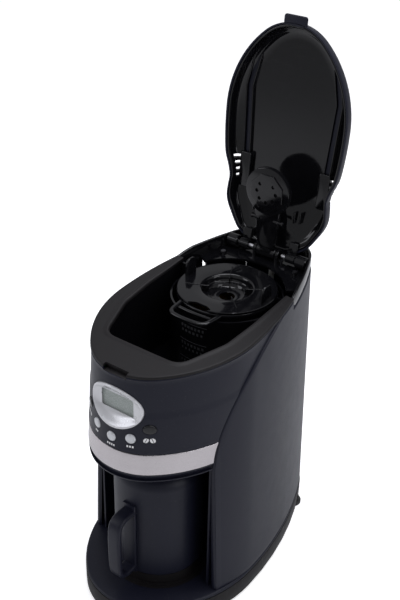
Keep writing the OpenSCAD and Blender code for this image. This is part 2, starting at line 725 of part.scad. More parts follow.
module carafe_handle() color(gloss_col) difference() {
    translate([-9, carafe_y, 0]) rotate([90, 0, 90]) linear_extrude(18) difference() {
        union() {
            translate([-carafe_r - 32, 57]) square([8, 74]);
            translate([-carafe_r - 26, 46]) square([27.6, 11]);
            translate([-carafe_r - 26, 131]) square([27.6, 11]);
            translate([-carafe_r - 26, 58]) circle(r = 12);
            translate([-carafe_r - 26, 130]) circle(r = 12);
            translate([-carafe_r - 3, 44]) square([4.6, 104]);
        }
        translate([-carafe_r - 22, 57]) square([18, 74]);
    }
    translate([0, carafe_y, 0]) cylinder(r = carafe_r + 0.1, h = big);
}

module carafe_lid() color(gloss_col) translate([0, carafe_y, 0]) difference() {
    union() {
        translate([0, 0, 186.6]) cylinder(r = carafe_r - 9, h = 12);
        translate([0, 0, 198.5]) cylinder(r1 = carafe_r - 9, r2 = carafe_r - 14, h = 4.5);
        translate([0, 0, 176]) cylinder(r = carafe_r - 17, h = 12);
    }
    translate([0, 0, 185.6]) tube(carafe_r - 13.9, carafe_r - 16.6, 7);
    translate([0, 0, 170]) cylinder(r = 6, h = 60);
    translate([0, 0, 200.4]) cylinder(r = 22, h = 10);
    translate([-7.5, -carafe_r, 194]) cube([15, 24, 20]);
}

module carafe_lever() color([0.1, 0.1, 0.11]) {
    translate([-6.8, carafe_y - carafe_r - 2, 196.5]) cube([13.6, 22, 4]);
    translate([-6.8, carafe_y - carafe_r - 2, 196.5]) cube([13.6, 4, 7]);
    x_rod(2, -6.8, 6.8, carafe_y - carafe_r + 20, 198.5);
}

// The origin on the table is below the middle of the overall box, with the lid open
module placed() translate([0, -42.48, 0]) children();

placed() base_pan();
placed() base_cover();
placed() rubber_feet();
placed() base_screws();
placed() carafe_rest_plate();
placed() bay_back_wall();
placed() bay_ceiling();
placed() side_panel_left();
placed() side_panel_right();
placed() rear_cover();
placed() front_housing();
placed() top_deck();
placed() steel_band();
placed() lower_lip();
placed() water_tank();
placed() rear_collar();
placed() collar_screws();
placed() hinge_pins();
placed() arm_pivot_pin();
placed() lcd_bezel();
placed() lcd_window();
placed() lcd_panel();
placed() control_board();
placed() power_board();
placed() heater_block();
placed() thermostat();
placed() thermal_fuse();
placed() cold_water_tube();
placed() hot_water_tube();
placed() check_valve();
placed() grinder_motor();
placed() motor_mount();
placed() drip_channel();
placed() drip_spring();
placed() cord_gland();
placed() motor_shaft();
placed() blade_coupling();
placed() grinder_blade();
placed() brew_basket();
placed() permanent_filter();
placed() basket_lid();
placed() lid_outer_shell();
placed() lid_inner_liner();
placed() shower_arm();
placed() shower_cap();
placed() button_hour();
placed() button_program();
placed() button_minute();
placed() button_grind_off();
placed() button_brew();
placed() drip_plunger();
placed() carafe_body();
placed() carafe_liner();
placed() carafe_base();
placed() carafe_handle();
placed() carafe_lid();
placed() carafe_lever();
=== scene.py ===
"""Drip coffee maker with a built-in grinder: covers, lid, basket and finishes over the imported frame."""
import json
import math

import bmesh
import bpy
import numpy as np
from mathutils import Matrix, Vector


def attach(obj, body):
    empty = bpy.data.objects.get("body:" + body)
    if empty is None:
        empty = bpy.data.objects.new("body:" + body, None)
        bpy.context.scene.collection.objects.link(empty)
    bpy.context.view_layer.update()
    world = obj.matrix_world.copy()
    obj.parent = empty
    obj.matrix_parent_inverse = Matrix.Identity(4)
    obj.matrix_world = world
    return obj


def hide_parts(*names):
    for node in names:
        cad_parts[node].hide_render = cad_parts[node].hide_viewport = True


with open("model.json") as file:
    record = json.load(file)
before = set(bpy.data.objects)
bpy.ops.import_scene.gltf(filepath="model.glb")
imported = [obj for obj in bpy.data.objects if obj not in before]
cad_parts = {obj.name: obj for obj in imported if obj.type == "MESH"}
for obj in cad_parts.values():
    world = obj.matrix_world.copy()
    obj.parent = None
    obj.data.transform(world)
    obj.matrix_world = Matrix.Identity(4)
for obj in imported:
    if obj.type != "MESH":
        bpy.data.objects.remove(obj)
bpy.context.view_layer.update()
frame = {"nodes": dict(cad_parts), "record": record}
MM = 0.001
# The middle of the overall box, lid open, in the coordinates that the pieces are drawn in
ORIGIN = np.array([0, 42.48, 0])
RECORD = frame["record"]

# ---------------------------------------------------------------- sizes, in millimetres
NOSE_TURN = 41
BODY = dict(half=95, mid=0, nose=69, flank=420, corner=38, rear=200)
DECK = dict(half=94, mid=7, nose=70, flank=420, corner=38, rear=201)
FLARE = 12
FOOT_Z = 4
BASE_TOP = 30
BAND_Z = 222
HOUSING_Z = 248.6
TAPER_TOP = 380
DECK_Z = 354
TILT = math.radians(4.75)
WALL = 2.6
PANEL_FRONT = -55
HINGE = np.array([0, 171, 365.0])
LID_OPEN = math.radians(100)
ARM_OPEN = math.radians(90)
BASKET_Y = 86
CARAFE_Y = -42
CARAFE_R = 54
LCD_Z = 300

# ---------------------------------------------------------------- outlines


def side_radius(p):
    s = math.sin(math.radians(NOSE_TURN))
    return (p["half"] - p["nose"] * s) / (1 - s)


def nose_centre(p):
    return p["mid"] - (side_radius(p) - p["nose"]) * math.cos(math.radians(NOSE_TURN))


def corner_centre(p):
    reach, drop = p["flank"] - p["corner"], p["rear"] - p["corner"] - p["mid"]
    return p["half"] - p["flank"] + math.sqrt(reach**2 - drop**2)


def rim(p, phi):
    """Point of the right half of outline p where its normal has the angle phi, in degrees."""
    phi = np.asarray(phi, float)
    a = np.radians(phi)
    turn = math.degrees(math.asin((p["rear"] - p["corner"] - p["mid"]) / (p["flank"] - p["corner"])))
    zones = [phi <= NOSE_TURN - 90, phi <= 0, phi <= turn]
    cx = np.select(zones, [0, p["half"] - side_radius(p), p["half"] - p["flank"]], corner_centre(p))
    cy = np.select(zones, [nose_centre(p), p["mid"], p["mid"]], p["rear"] - p["corner"])
    r = np.select(zones, [p["nose"], side_radius(p), p["flank"]], p["corner"])
    return np.stack([cx + r * np.cos(a), cy + r * np.sin(a)], -1)


def wall_point(phi, z, d, flared):
    """Point at height z, d outside the housing (or the flared tower), where the normal is phi.

    A phi above 90 runs along the flat rear.
    """
    phi, z, d = np.broadcast_arrays(np.asarray(phi, float), np.asarray(z, float), np.asarray(d, float))
    z_low = FOOT_Z if flared else HOUSING_Z
    t = ((z - z_low) / (TAPER_TOP - z_low))[..., None]
    low = rim(BODY, np.minimum(phi, 90))
    high = rim(DECK, np.minimum(phi, 90))
    a = np.radians(np.minimum(phi, 90))
    extra = (FLARE * (1 - t[..., 0]) if flared else 0) + d
    out = low * (1 - t) + high * t + np.stack([np.cos(a), np.sin(a)], -1) * extra[..., None]
    out[..., 0] = np.where(phi > 90, out[..., 0] * (1 - (phi - 90) / 90), out[..., 0])
    return out


def phi_at(y, z, flared, d=0.0):
    """The normal's angle where the outline passes y."""
    y, z = np.broadcast_arrays(np.asarray(y, float), np.asarray(z, float))
    low, high = np.full(y.shape, -90.0), np.full(y.shape, 90.0)
    for _ in range(24):
        mid = (low + high) / 2
        under = wall_point(mid, z, d, flared)[..., 1] < y
        low, high = np.where(under, mid, low), np.where(under, high, mid)
    return (low + high) / 2


def bezier(points, t):
    p0, p1, p2, p3 = (np.asarray(p, float) for p in points)
    t = np.asarray(t, float)[..., None]
    s = 1 - t
    return s**3 * p0 + 3 * s * s * t * p1 + 3 * s * t * t * p2 + t**3 * p3


GROOVE = bezier([(PANEL_FRONT, 205), (-52, 275), (-5, 342), (95, 364)], np.linspace(0, 1, 60))


def groove_y(z):
    """Where the side panels' front edge runs at height z."""
    return np.interp(z, GROOVE[:, 1], GROOVE[:, 0], left=PANEL_FRONT)


def deck_height(y, above=0.0):
    """Height of the plane that lies `above` the tilted deck, at y."""
    return DECK_Z + np.asarray(y, float) * math.tan(TILT) + above / math.cos(TILT)


def on_deck(points):
    """Turns points of the deck's own tilted frame into the machine's frame."""
    p = np.asarray(points, float)
    y, z = p[..., 1], p[..., 2]
    c, s = math.cos(TILT), math.sin(TILT)
    return np.stack([p[..., 0], y * c - z * s, DECK_Z + y * s + z * c], -1)


def opened(points, angle):
    """Swings points back about the hinge by the opening angle."""
    p = np.asarray(points, float) - HINGE
    c, s = math.cos(-angle), math.sin(-angle)
    return np.stack([p[..., 0], p[..., 1] * c - p[..., 2] * s, p[..., 1] * s + p[..., 2] * c], -1) + HINGE


# ---------------------------------------------------------------- mesh building


class Part:
    """Collects closed shells, in millimetres, and turns them into one object."""

    def __init__(self, name):
        self.name, self.verts, self.faces, self.count = name, [], [], 0

    def add(self, verts, faces):
        verts = np.asarray(verts, float).reshape(-1, 3)
        self.verts.append(verts)
        self.faces += [tuple(int(i) + self.count for i in f) for f in faces]
        self.count += len(verts)
        return self

    def grid(self, rows, wrap_rows=False, caps=True):
        """Rows of closed loops. Ends are capped, or joined up when the rows wrap round."""
        rows = np.asarray(rows, float)
        m, n = rows.shape[:2]
        faces = []
        for j in range(m if wrap_rows else m - 1):
            for i in range(n):
                k, j2 = (i + 1) % n, (j + 1) % m
                faces.append((j * n + i, j * n + k, j2 * n + k, j2 * n + i))
        if caps and not wrap_rows:
            faces.append(tuple(range(n))[::-1])
            faces.append(tuple((m - 1) * n + i for i in range(n)))
        return self.add(rows, faces)

    def lathe(self, profile, centre, n=64, axis=None, stretch=1.0, turn=0.0):
        """Turns (radius, height) points about an axis through centre.

        The profile ends on the axis at both ends, or closes as a loop clear of it.
        """
        profile = np.asarray(profile, float)
        a = np.radians(turn) + np.arange(n) * 2 * math.pi / n
        ring = np.stack([np.cos(a) * stretch, np.sin(a), np.zeros(n)], -1)
        rows = profile[:, None, :1] * ring[None] + profile[:, None, 1:] * np.array([0, 0, 1.0])
        if axis is not None:
            m = np.array(Vector((0, 0, 1)).rotation_difference(Vector(axis)).to_matrix())
            rows = rows @ m.T
        rows = rows + np.asarray(centre, float)
        loop = bool(profile[0, 0] > 1e-6 and profile[-1, 0] > 1e-6)
        return self.grid(rows, wrap_rows=loop, caps=not loop)

    def sweep(self, path, section, up=(0, 0, 1), scale=None):
        """Carries a closed section (right, up) along a path."""
        path = np.asarray(path, float)
        tangent = np.gradient(path, axis=0)
        tangent /= np.linalg.norm(tangent, axis=1)[:, None]
        right = np.cross(tangent, np.asarray(up, float))
        right /= np.linalg.norm(right, axis=1)[:, None]
        lift = np.cross(right, tangent)
        section = np.asarray(section, float)
        scale = np.ones(len(path)) if scale is None else np.asarray(scale, float)
        rows = (path[:, None] + scale[:, None, None] *
                (section[None, :, :1] * right[:, None] + section[None, :, 1:] * lift[:, None]))
        return self.grid(rows)

    def done(self, body, slot, *nodes, cut=(), bevel=0.0, sharp=35, material=None, shift=None):
        mesh = bpy.data.meshes.new(self.name)
        points = (np.concatenate(self.verts) - ORIGIN) * MM
        mesh.from_pydata(points.tolist(), [], self.faces)
        tidy = bmesh.new()
        tidy.from_mesh(mesh)
        bmesh.ops.remove_doubles(tidy, verts=tidy.verts, dist=1e-7)
        bmesh.ops.dissolve_degenerate(tidy, edges=tidy.edges, dist=1e-7)
        bmesh.ops.recalc_face_normals(tidy, faces=tidy.faces)
        tidy.to_mesh(mesh)
        tidy.free()
        piece = bpy.data.objects.new(self.name, mesh)
        bpy.context.scene.collection.objects.link(piece)
        for cutter in cut:
            bake(piece, "BOOLEAN", object=cutter, operation="DIFFERENCE", solver="EXACT")
            bpy.data.objects.remove(cutter)
        if bevel:
            bake(piece, "BEVEL", width=bevel * MM, segments=2, limit_method="ANGLE",
                 angle_limit=math.radians(40))
        finish_shading(piece, sharp)
        piece.data.materials.clear()
        piece.data.materials.append(material or FINISH[slot])
        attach(piece, body)
        if nodes:
            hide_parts(*nodes)
        return piece


def bake(piece, kind, **settings):
    """Applies one modifier and keeps its result as the plain mesh."""
    modifier = piece.modifiers.new(kind.lower(), kind)
    for key, value in settings.items():
        setattr(modifier, key, value)
    deps = bpy.context.evaluated_depsgraph_get()
    mesh = bpy.data.meshes.new_from_object(piece.evaluated_get(deps))
    piece.modifiers.clear()
    piece.data = mesh


def finish_shading(piece, sharp):
    piece.data.polygons.foreach_set("use_smooth", [True] * len(piece.data.polygons))
    piece.data.set_sharp_from_angle(angle=math.radians(sharp))


def cutter(part):
    """An object from a Part that is only used to cut another."""
    mesh = bpy.data.meshes.new(part.name)
    mesh.from_pydata(((np.concatenate(part.verts) - ORIGIN) * MM).tolist(), [], part.faces)
    tidy = bmesh.new()
    tidy.from_mesh(mesh)
    bmesh.ops.remove_doubles(tidy, verts=tidy.verts, dist=1e-7)
    bmesh.ops.recalc_face_normals(tidy, faces=tidy.faces)
    tidy.to_mesh(mesh)
    tidy.free()
    piece = bpy.data.objects.new(part.name, mesh)
    bpy.context.scene.collection.objects.link(piece)
    return piece


def rounded_rect(w, h, r, n=6):
    corners = [(w / 2 - r, h / 2 - r, 0), (r - w / 2, h / 2 - r, 90), (r - w / 2, r - h / 2, 180),
               (w / 2 - r, r - h / 2, 270)]
    return np.array([(x + r * math.cos(math.radians(a + 90 * k / n)),
                      y + r * math.sin(math.radians(a + 90 * k / n)))
                     for x, y, a in corners for k in range(n + 1)])


def soft_slab(part, outline, z0, z1, r=0.8, place=None, steps=4):
    """A plate with rounded top and bottom edges; outline is a closed (x, y) loop, roughly convex."""
    outline = np.asarray(outline, float)
    edge = np.roll(outline, -1, 0) - np.roll(outline, 1, 0)
    normal = np.stack([edge[:, 1], -edge[:, 0]], -1)
    normal /= np.linalg.norm(normal, axis=1)[:, None]
    rows = []
    turns = [math.radians(90 * k / steps) for k in range(steps + 1)]
    levels = [(r * (1 - math.sin(t)), z0 + r * (1 - math.cos(t))) for t in turns]
    levels += [(r * (1 - math.cos(t)), z1 - r * (1 - math.sin(t))) for t in turns]
    for inset, z in levels:
        ring = outline - normal * inset
        rows.append(np.column_stack([ring, np.full(len(ring), z)]))
    rows = np.array(rows)
    return part.grid(rows if place is None else place(rows))


def upright(sign, x, y, z):
    """Stands a flat plate on edge, its thickness across the machine."""
    def place(rows):
        return np.stack([sign * (x + rows[..., 2]), y + rows[..., 0], z + rows[..., 1]], -1)
    return place


def box_part(name, low, high, r=0.0):
    low, high = np.asarray(low, float), np.asarray(high, float)
    part = Part(name)
    w, l = high[0] - low[0], high[1] - low[1]
    outline = rounded_rect(w, l, max(r, 0.01), 3) + (low[:2] + high[:2]) / 2
    rows = [np.column_stack([outline, np.full(len(outline), z)]) for z in (low[2], high[2])]
    return part.grid(rows)


# ---------------------------------------------------------------- finishes


class Field:
    """A shader value that adds up like a number."""

    def __init__(self, tree, socket):
        self.tree, self.socket = tree, socket

    def _math(self, operation, other, swap=False):
        pair = (other, self) if swap else (self, other)
        return self.tree.node("ShaderNodeMath", {"operation": operation}, {0: pair[0], 1: pair[1]})

    def __add__(self, other):
        return self._math("ADD", other)

    __radd__ = __add__

    def __sub__(self, other):
        return self._math("SUBTRACT", other)

    def __rsub__(self, other):
        return self._math("SUBTRACT", other, True)

    def __mul__(self, other):
        return self._math("MULTIPLY", other)

    __rmul__ = __mul__


class Tree:
    """A node tree in which every node is made by one method."""

    def __init__(self, group):
        self.nodes, self.links = group.nodes, group.links

    def node(self, kind, settings, values, out=0):
        n = self.nodes.new(kind)
        for key, value in settings.items():
            setattr(n, key, value)
        for key, value in values.items():
            if isinstance(value, Field):
                self.links.new(value.socket, n.inputs[key])
            else:
                n.inputs[key].default_value = value
        return None if out is None else Field(self, n.outputs[out])


class Repeat(Tree):
    """A geometry tree with named sizes, in millimetres, for what repeats on the machine."""

    def __init__(self, name, sizes):
        self.name = name
        self.group = bpy.data.node_groups.new(name, "GeometryNodeTree")
        super().__init__(self.group)
        panel = self.group.interface
        self.sizes = {label: panel.new_socket(label, in_out="INPUT", socket_type="NodeSocket" + kind)
                      for label, kind in {**sizes, "Finish": "Material"}.items()}
        panel.new_socket("Shape", in_out="OUTPUT", socket_type="NodeSocketGeometry")
        self.entry = self.nodes.new("NodeGroupInput")

    def size(self, label):
        return Field(self, self.entry.outputs[label])

    def close(self, shape):
        """Ends the tree in plain geometry that wears its finish."""
        real = self.node("GeometryNodeRealizeInstances", {}, {"Geometry": shape})
        dressed = self.node("GeometryNodeSetMaterial", {},
                            {"Geometry": real, "Material": self.size("Finish")})
        self.node("NodeGroupOutput", {}, {"Shape": dressed}, None)
        return self

    def make(self, finish, **sizes):
        """Grows the shape at these sizes and returns its points and faces."""
        host = bpy.data.objects.new(self.name, bpy.data.meshes.new(self.name))
        bpy.context.scene.collection.objects.link(host)
        grower = host.modifiers.new(self.name, "NODES")
        grower.node_group = self.group
        for label, value in {**sizes, "Finish": FINISH[finish]}.items():
            grower[self.sizes[label.replace("_", " ")].identifier] = value
        deps = bpy.context.evaluated_depsgraph_get()
        mesh = bpy.data.meshes.new_from_object(host.evaluated_get(deps))
        bpy.data.objects.remove(host)
        return np.array([v.co for v in mesh.vertices]), [tuple(f.vertices) for f in mesh.polygons]


def spots_on_ring(tree):
    """Points set one after another round a ring, and the turn of each."""
    turn = tree.size("First Turn") + tree.node("GeometryNodeInputIndex", {}, {}) * tree.size("Turn Step")
    across = tree.node("ShaderNodeMath", {"operation": "COSINE"}, {0: turn}) * tree.size("Ring Radius")
    along = tree.node("ShaderNodeMath", {"operation": "SINE"}, {0: turn}) * tree.size("Ring Radius")
    place = tree.node("ShaderNodeCombineXYZ", {}, {0: across, 1: along})
    return tree.node("GeometryNodePoints", {}, {"Count": tree.size("Count"), "Position": place}), turn


def hole_ring():
    """Round plugs set in a ring, to cut the spray holes with."""
    tree = Repeat("spray_hole_ring", {"Count": "Int", "First Turn": "Float", "Turn Step": "Float",
                                      "Ring Radius": "Float", "Hole Radius": "Float", "Depth": "Float"})
    plug = tree.node("GeometryNodeMeshCylinder", {},
                     {"Vertices": 20, "Radius": tree.size("Hole Radius"), "Depth": tree.size("Depth")})
    spots = spots_on_ring(tree)[0]
    return tree.close(tree.node("GeometryNodeInstanceOnPoints", {}, {"Points": spots, "Instance": plug}))


def mark_row():
    """Short raised bars of uneven width, side by side round the chamber wall."""
    tree = Repeat("level_mark_row", {"Count": "Int", "First Turn": "Float", "Turn Step": "Float",
                                     "Ring Radius": "Float",
                                     "Width": "Float", "Height": "Float", "Spread": "Float", "Seed": "Int"})
    size = tree.node("ShaderNodeCombineXYZ", {}, {0: 0.33, 1: tree.size("Width"), 2: tree.size("Height")})
    bar = tree.node("GeometryNodeMeshCube", {}, {"Size": size})
    spots, turn = spots_on_ring(tree)
    wide = tree.node("FunctionNodeRandomValue", {}, {2: 1.0, 3: tree.size("Spread"),
                                                     "Seed": tree.size("Seed")}, 1)
    facing = tree.node("ShaderNodeCombineXYZ", {}, {2: turn})
    stretch = tree.node("ShaderNodeCombineXYZ", {}, {0: 1.0, 1: wide, 2: 1.0})
    return tree.close(tree.node("GeometryNodeInstanceOnPoints", {},
                                {"Points": spots, "Instance": bar, "Rotation": facing, "Scale": stretch}))


class Finish(Tree):
    """One material, built from nodes."""

    def __init__(self, name):
        self.material = bpy.data.materials.new(name)
        self.material.use_nodes = True
        super().__init__(self.material.node_tree)
        self.shader = self.nodes["Principled BSDF"]
        self.place = self.node("ShaderNodeTexCoord", {}, {}, "Object")

    def noise(self, scale, detail=2.0, rough=0.5, stretch=None):
        place = self.place
        if stretch:
            place = self.node("ShaderNodeMapping", {}, {"Vector": place, "Scale": stretch})
        return self.node("ShaderNodeTexNoise", {}, {"Vector": place, "Scale": scale, "Detail": detail,
                                                    "Roughness": rough}, "Fac")

    def band(self, value, low, high, out_low=0.0, out_high=1.0):
        return self.node("ShaderNodeMapRange", {"interpolation_type": "SMOOTHSTEP"},
                         {"Value": value, "From Min": low, "From Max": high, "To Min": out_low,
                          "To Max": out_high})

    def blend(self, share, a, b):
        return self.node("ShaderNodeMix", {"data_type": "RGBA"},
                         {0: share, 6: as_colour(a), 7: as_colour(b)}, 2)

    def set(self, **values):
        for key, value in values.items():
            socket = self.shader.inputs[key.replace("_", " ")]
            if isinstance(value, Field):
                self.links.new(value.socket, socket)
            else:
                socket.default_value = value
        return self

    def bump(self, height, strength=0.2, distance=0.0002):
        self.set(Normal=self.node("ShaderNodeBump", {}, {"Strength": strength, "Distance": distance,
                                                         "Height": height}))
        return self


def as_colour(c):
    return c if isinstance(c, Field) else (*c[:3], 1.0)


def satin_plastic(name, colour, rough=0.42, grain=0.12, coat=0.0):
    """Moulded plastic with a fine spark-eroded grain, dust in it and slow tone changes."""
    f = Finish(name)
    tone = f.noise(9, 3)
    dust = f.band(f.noise(420, 1), 0.68, 0.74)
    base = f.blend(tone, [c * 0.92 for c in colour], [c * 1.1 for c in colour])
    f.set(Base_Color=f.blend(dust * 0.03, base, (0.3, 0.3, 0.3)))
    f.set(Roughness=rough - 0.05 + f.noise(60, 2) * 0.08 + dust * 0.1)
    f.set(Specular_IOR_Level=0.24, Coat_Weight=coat, Coat_Roughness=0.25)
    f.bump(f.noise(2600, 2) + f.noise(900, 2) * 0.6, grain, 0.0001)
    return f.material


def gloss_plastic(name, colour, rough=0.08):
    """Polished moulding with faint wipe marks and a few specks of dust."""
    f = Finish(name)
    wipe = f.noise(30, 4, 0.6, (1, 1, 6))
    dust = f.band(f.noise(300, 1), 0.72, 0.78)
    f.set(Base_Color=f.blend(dust * 0.02, colour, (0.3, 0.29, 0.28)))
    f.set(Roughness=rough + f.band(wipe, 0.45, 0.75, 0.0, 0.08) + dust * 0.08, Specular_IOR_Level=0.42)
    f.bump(f.noise(14, 3), 0.05, 0.0004)
    return f.material


def metal(name, colour, rough, stretch, grain=0.15, tone_and_streak_scale=14):
    """Metal with a drawn or rolled grain along one direction; its broad noise gives slow random tone, and on
    the band it is stretched into vertical streaks of painted reflection.
    """
    f = Finish(name)
    line = f.noise(260, 3, 0.6, stretch)
    # Broad noise: slow random tone; above scale 14 it is stretched across the band into vertical streaks that
    # paint in the softbox reflections of the brushed steel.
    tone_and_sheen_streaks = f.noise(tone_and_streak_scale, 2, 0.5, (1, 0.3, 0.02) if tone_and_streak_scale > 14 else None)
    f.set(Base_Color=f.blend(line * 0.5 + tone_and_sheen_streaks * 0.5, [c * 0.82 for c in colour],
                             [min(1, c * 1.12) for c in colour]))
    f.set(Metallic=1.0, Roughness=rough - 0.06 + line * 0.14 + tone_and_sheen_streaks * 0.05)
    f.bump(line, grain, 0.00005)
    return f.material


def rubber(name, colour, rough=0.7):
    f = Finish(name)
    chalk = f.noise(40, 4)
    f.set(Base_Color=f.blend(chalk, colour, [c + 0.02 for c in colour]), Roughness=rough + chalk * 0.12)
    f.bump(f.noise(1200, 3), 0.2, 0.0001)
    return f.material


def painted_silver(name, colour, rough=0.3):
    """Silver paint on plastic: fine flakes under a soft sheen."""
    f = Finish(name)
    flake = f.noise(4200, 1)
    f.set(Base_Color=f.blend(flake, [c * 0.93 for c in colour], [min(1, c * 1.05) for c in colour]))
    f.set(Metallic=0.35, Roughness=rough + f.noise(80, 2) * 0.08, Coat_Weight=0.3, Coat_Roughness=0.12)
    f.bump(flake, 0.03, 0.00005)
    return f.material


def circuit_board(name):
    f = Finish(name)
    tracks = f.node("ShaderNodeTexBrick", {"offset": 0.5},
                    {"Vector": f.place, "Scale": 260.0, "Mortar Size": 0.08}, "Fac")
    f.set(Base_Color=f.blend(tracks, (0.02, 0.13, 0.05), (0.05, 0.25, 0.1)), Roughness=0.4 + tracks * 0.15)
    f.bump(tracks, 0.1, 0.00005)
    return f.material


def filter_gauze(name):
    """Woven gold-toned gauze."""
    f = Finish(name)
    warp = f.node("ShaderNodeTexWave", {"bands_direction": "Z"}, {"Vector": f.place, "Scale": 480.0})
    weft = f.node("ShaderNodeTexWave", {"bands_direction": "X"}, {"Vector": f.place, "Scale": 480.0})
    weave = warp * weft
    f.set(Base_Color=f.blend(weave, (0.25, 0.15, 0.04), (0.85, 0.62, 0.25)), Metallic=1.0, Roughness=0.3
          + weave * 0.1)
    f.bump(weave, 0.4, 0.0001)
    return f.material


def display_face(name):
    """Grey-green liquid-crystal face with a faint blotchy haze."""
    f = Finish(name)
    haze = f.noise(50, 3)
    f.set(Base_Color=f.blend(haze, (0.17, 0.20, 0.185), (0.2, 0.235, 0.22)), Roughness=0.35 + haze * 0.1)
    f.bump(f.noise(900, 1), 0.03, 0.00005)
    return f.material


def clear_window(name):
    f = Finish(name)
    smear = f.noise(40, 3)
    f.set(Base_Color=(0.9, 0.95, 0.92, 1), Alpha=0.12 + smear * 0.05, Roughness=0.03 + smear * 0.06)
    f.bump(smear, 0.02, 0.0002)
    return f.material


def fired_clay(name, colour):
    f = Finish(name)
    speck = f.noise(220, 3)
    f.set(Base_Color=f.blend(speck, [c * 0.85 for c in colour], colour), Roughness=0.25 + speck * 0.2)
    f.bump(speck, 0.1, 0.0002)
    return f.material


def printed_white(name):
    f = Finish(name)
    patch = f.noise(700, 2)
    f.set(Base_Color=f.blend(patch, (0.7, 0.7, 0.7), (0.82, 0.82, 0.82)), Roughness=0.5 + patch * 0.1)
    f.bump(patch, 0.1, 0.00005)
    return f.material


FINISH = {
    "satin_black": satin_plastic("satin_black_moulding", (0.0078, 0.0086, 0.0175), 0.42, 0.08),
    "deck_black": satin_plastic("grained_deck_moulding", (0.0078, 0.0068, 0.0074), 0.5, 0.18),
    "gloss_black": gloss_plastic("gloss_black_moulding", (0.004, 0.004, 0.005)),
    "silver_plastic": painted_silver("silver_paint_bezel", (0.66, 0.66, 0.68), 0.24),
    "key_silver": painted_silver("silver_paint_keys", (0.58, 0.59, 0.61), 0.28),
    # The band steel's colour holds painted reflection: vertical streaks from its stretched broad noise.
    "band_steel": metal("brushed_band_steel", (0.53, 0.50, 0.51), 0.24, (1, 1, 30), tone_and_streak_scale=42),
    "inner_steel": metal("drawn_steel", (0.66, 0.66, 0.67), 0.28, (6, 6, 1)),
    "motor_steel": metal("zinc_plated_steel", (0.55, 0.55, 0.57), 0.35, (1, 1, 8)),
    "cast_aluminium": metal("cast_aluminium", (0.62, 0.63, 0.64), 0.48, (1, 1, 1), 0.4),
    "display_glass": clear_window("display_window_clear"),
    "display_grey": display_face("liquid_crystal_face"),
    "circuit_green": circuit_board("circuit_board_lacquer"),
    "black_rubber": rubber("black_foot_rubber", (0.02, 0.02, 0.02)),
    "tube_silicone": rubber("milky_silicone_tube", (0.72, 0.71, 0.68), 0.45),
    "white_ceramic": fired_clay("glazed_ceramic", (0.85, 0.83, 0.78)),
    "filter_mesh": filter_gauze("gold_tone_gauze"),
    "inner_grey": satin_plastic("grey_inner_moulding", (0.05, 0.05, 0.055), 0.5, 0.2),
}
INK = printed_white("white_key_print")
BLACK_ZINC = metal("black_zinc_screw", (0.09, 0.09, 0.1), 0.3, (3, 3, 3))
for entry in RECORD["subparts"]:
    node = frame["nodes"][entry["node"]]
    node.data.materials.clear()
    node.data.materials.append(BLACK_ZINC
                               if entry["node"] == "collar_screws" else FINISH[entry["material_slot"]])
    finish_shading(node, 28)

# ---------------------------------------------------------------- covers of the tower


def round_over(r, depth):
    """How far a rounded edge of radius r stands back at a depth below its end."""
    return r - math.sqrt(max(0.0, r * r - (r - depth) ** 2)) if depth < r else 0.0


def front_skin(z_low, z_top, d_out, d_in, rows, edge_top, edge_low, gap=0.5, columns=121):
    """Curved front cover from groove to groove round the nose; z_top is a height or a function of y."""
    q = np.linspace(-1, 1, columns)
    levels = []
    for v, drop_top, drop_low in rows:
        z = np.full(columns, float(z_low))
        for _ in range(5):
            limit = phi_at(groove_y(z) - gap, z, False)
            phi = -90 + np.abs(q) * (limit + 90)
            y = wall_point(phi, z, 0, False)[:, 1]
            top = z_top(y) if callable(z_top) else z_top
            z = z_low + v * (top - z_low) - drop_top + drop_low + 0 * y
        inset = round_over(edge_top, drop_top) if v > 0.5 else round_over(edge_low, drop_low)
        sides = []
        for d in (d_out - inset, d_in):
            xy = wall_point(phi, z, d, False)
            sides.append(np.column_stack([xy[:, 0] * np.sign(q), xy[:, 1], z]))
        levels.append(np.concatenate([sides[0], sides[1][::-1]]))
    return np.array(levels)


def level_rows(count, edge_top, edge_low):
    """(share, drop from the top, rise from the bottom) of each row, with close rows at rounded edges."""
    close = [0.0, 0.06, 0.2, 0.45, 1.0]
    low = [(0.0, 0.0, edge_low * c) for c in close] if edge_low else [(0.0, 0.0, 0.0)]
    top = [(1.0, edge_top * c, 0.0) for c in close[::-1]] if edge_top else [(1.0, 0.0, 0.0)]
    return low + [(k / count, 0.0, 0.0) for k in range(1, count)] + top


def nose_place(x, z):
    """Origin on the nose's surface at x and its axes: right, up and inward."""
    t = (z - HOUSING_Z) / (TAPER_TOP - HOUSING_Z)
    r = BODY["nose"] * (1 - t) + DECK["nose"] * t
    cy = nose_centre(BODY) * (1 - t) + nose_centre(DECK) * t
    a = math.asin(x / r)
    inward = np.array([-math.sin(a), math.cos(a), 0])
    right = np.array([math.cos(a), math.sin(a), 0])
    return np.array([x, cy - r * math.cos(a), z]), right, np.array([0, 0, 1.0]), inward


ROUND_KEYS = {"hour": (-23.4, 267), "program": (0, 262.5), "minute": (23.4, 267)}
OVAL_KEYS = {"brew": (-41.5, 281), "grind_off": (41.5, 281)}


def key_cutter(x, z, rx, rz, n=48):
    spot, right, up, inward = nose_place(x, z)
    a = np.arange(n) * 2 * math.pi / n
    ring = spot + np.cos(a)[:, None] * right * rx + np.sin(a)[:, None] * up * rz
    return cutter(Part("key_hole").grid(np.array([ring - inward * 8, ring + inward * 12])))


def oval(n, rx, rz):
    a = np.arange(n) * 2 * math.pi / n
    return np.stack([rx * np.cos(a), rz * np.sin(a)], -1)


def bezel_cutter(grow):
    loop = oval(72, 35 + grow, 25 + grow)
    rows = [np.column_stack([loop[:, 0], np.full(72, y), loop[:, 1] + LCD_Z]) for y in (-140, -96)]
    return cutter(Part("bezel_hole").grid(np.array(rows)))


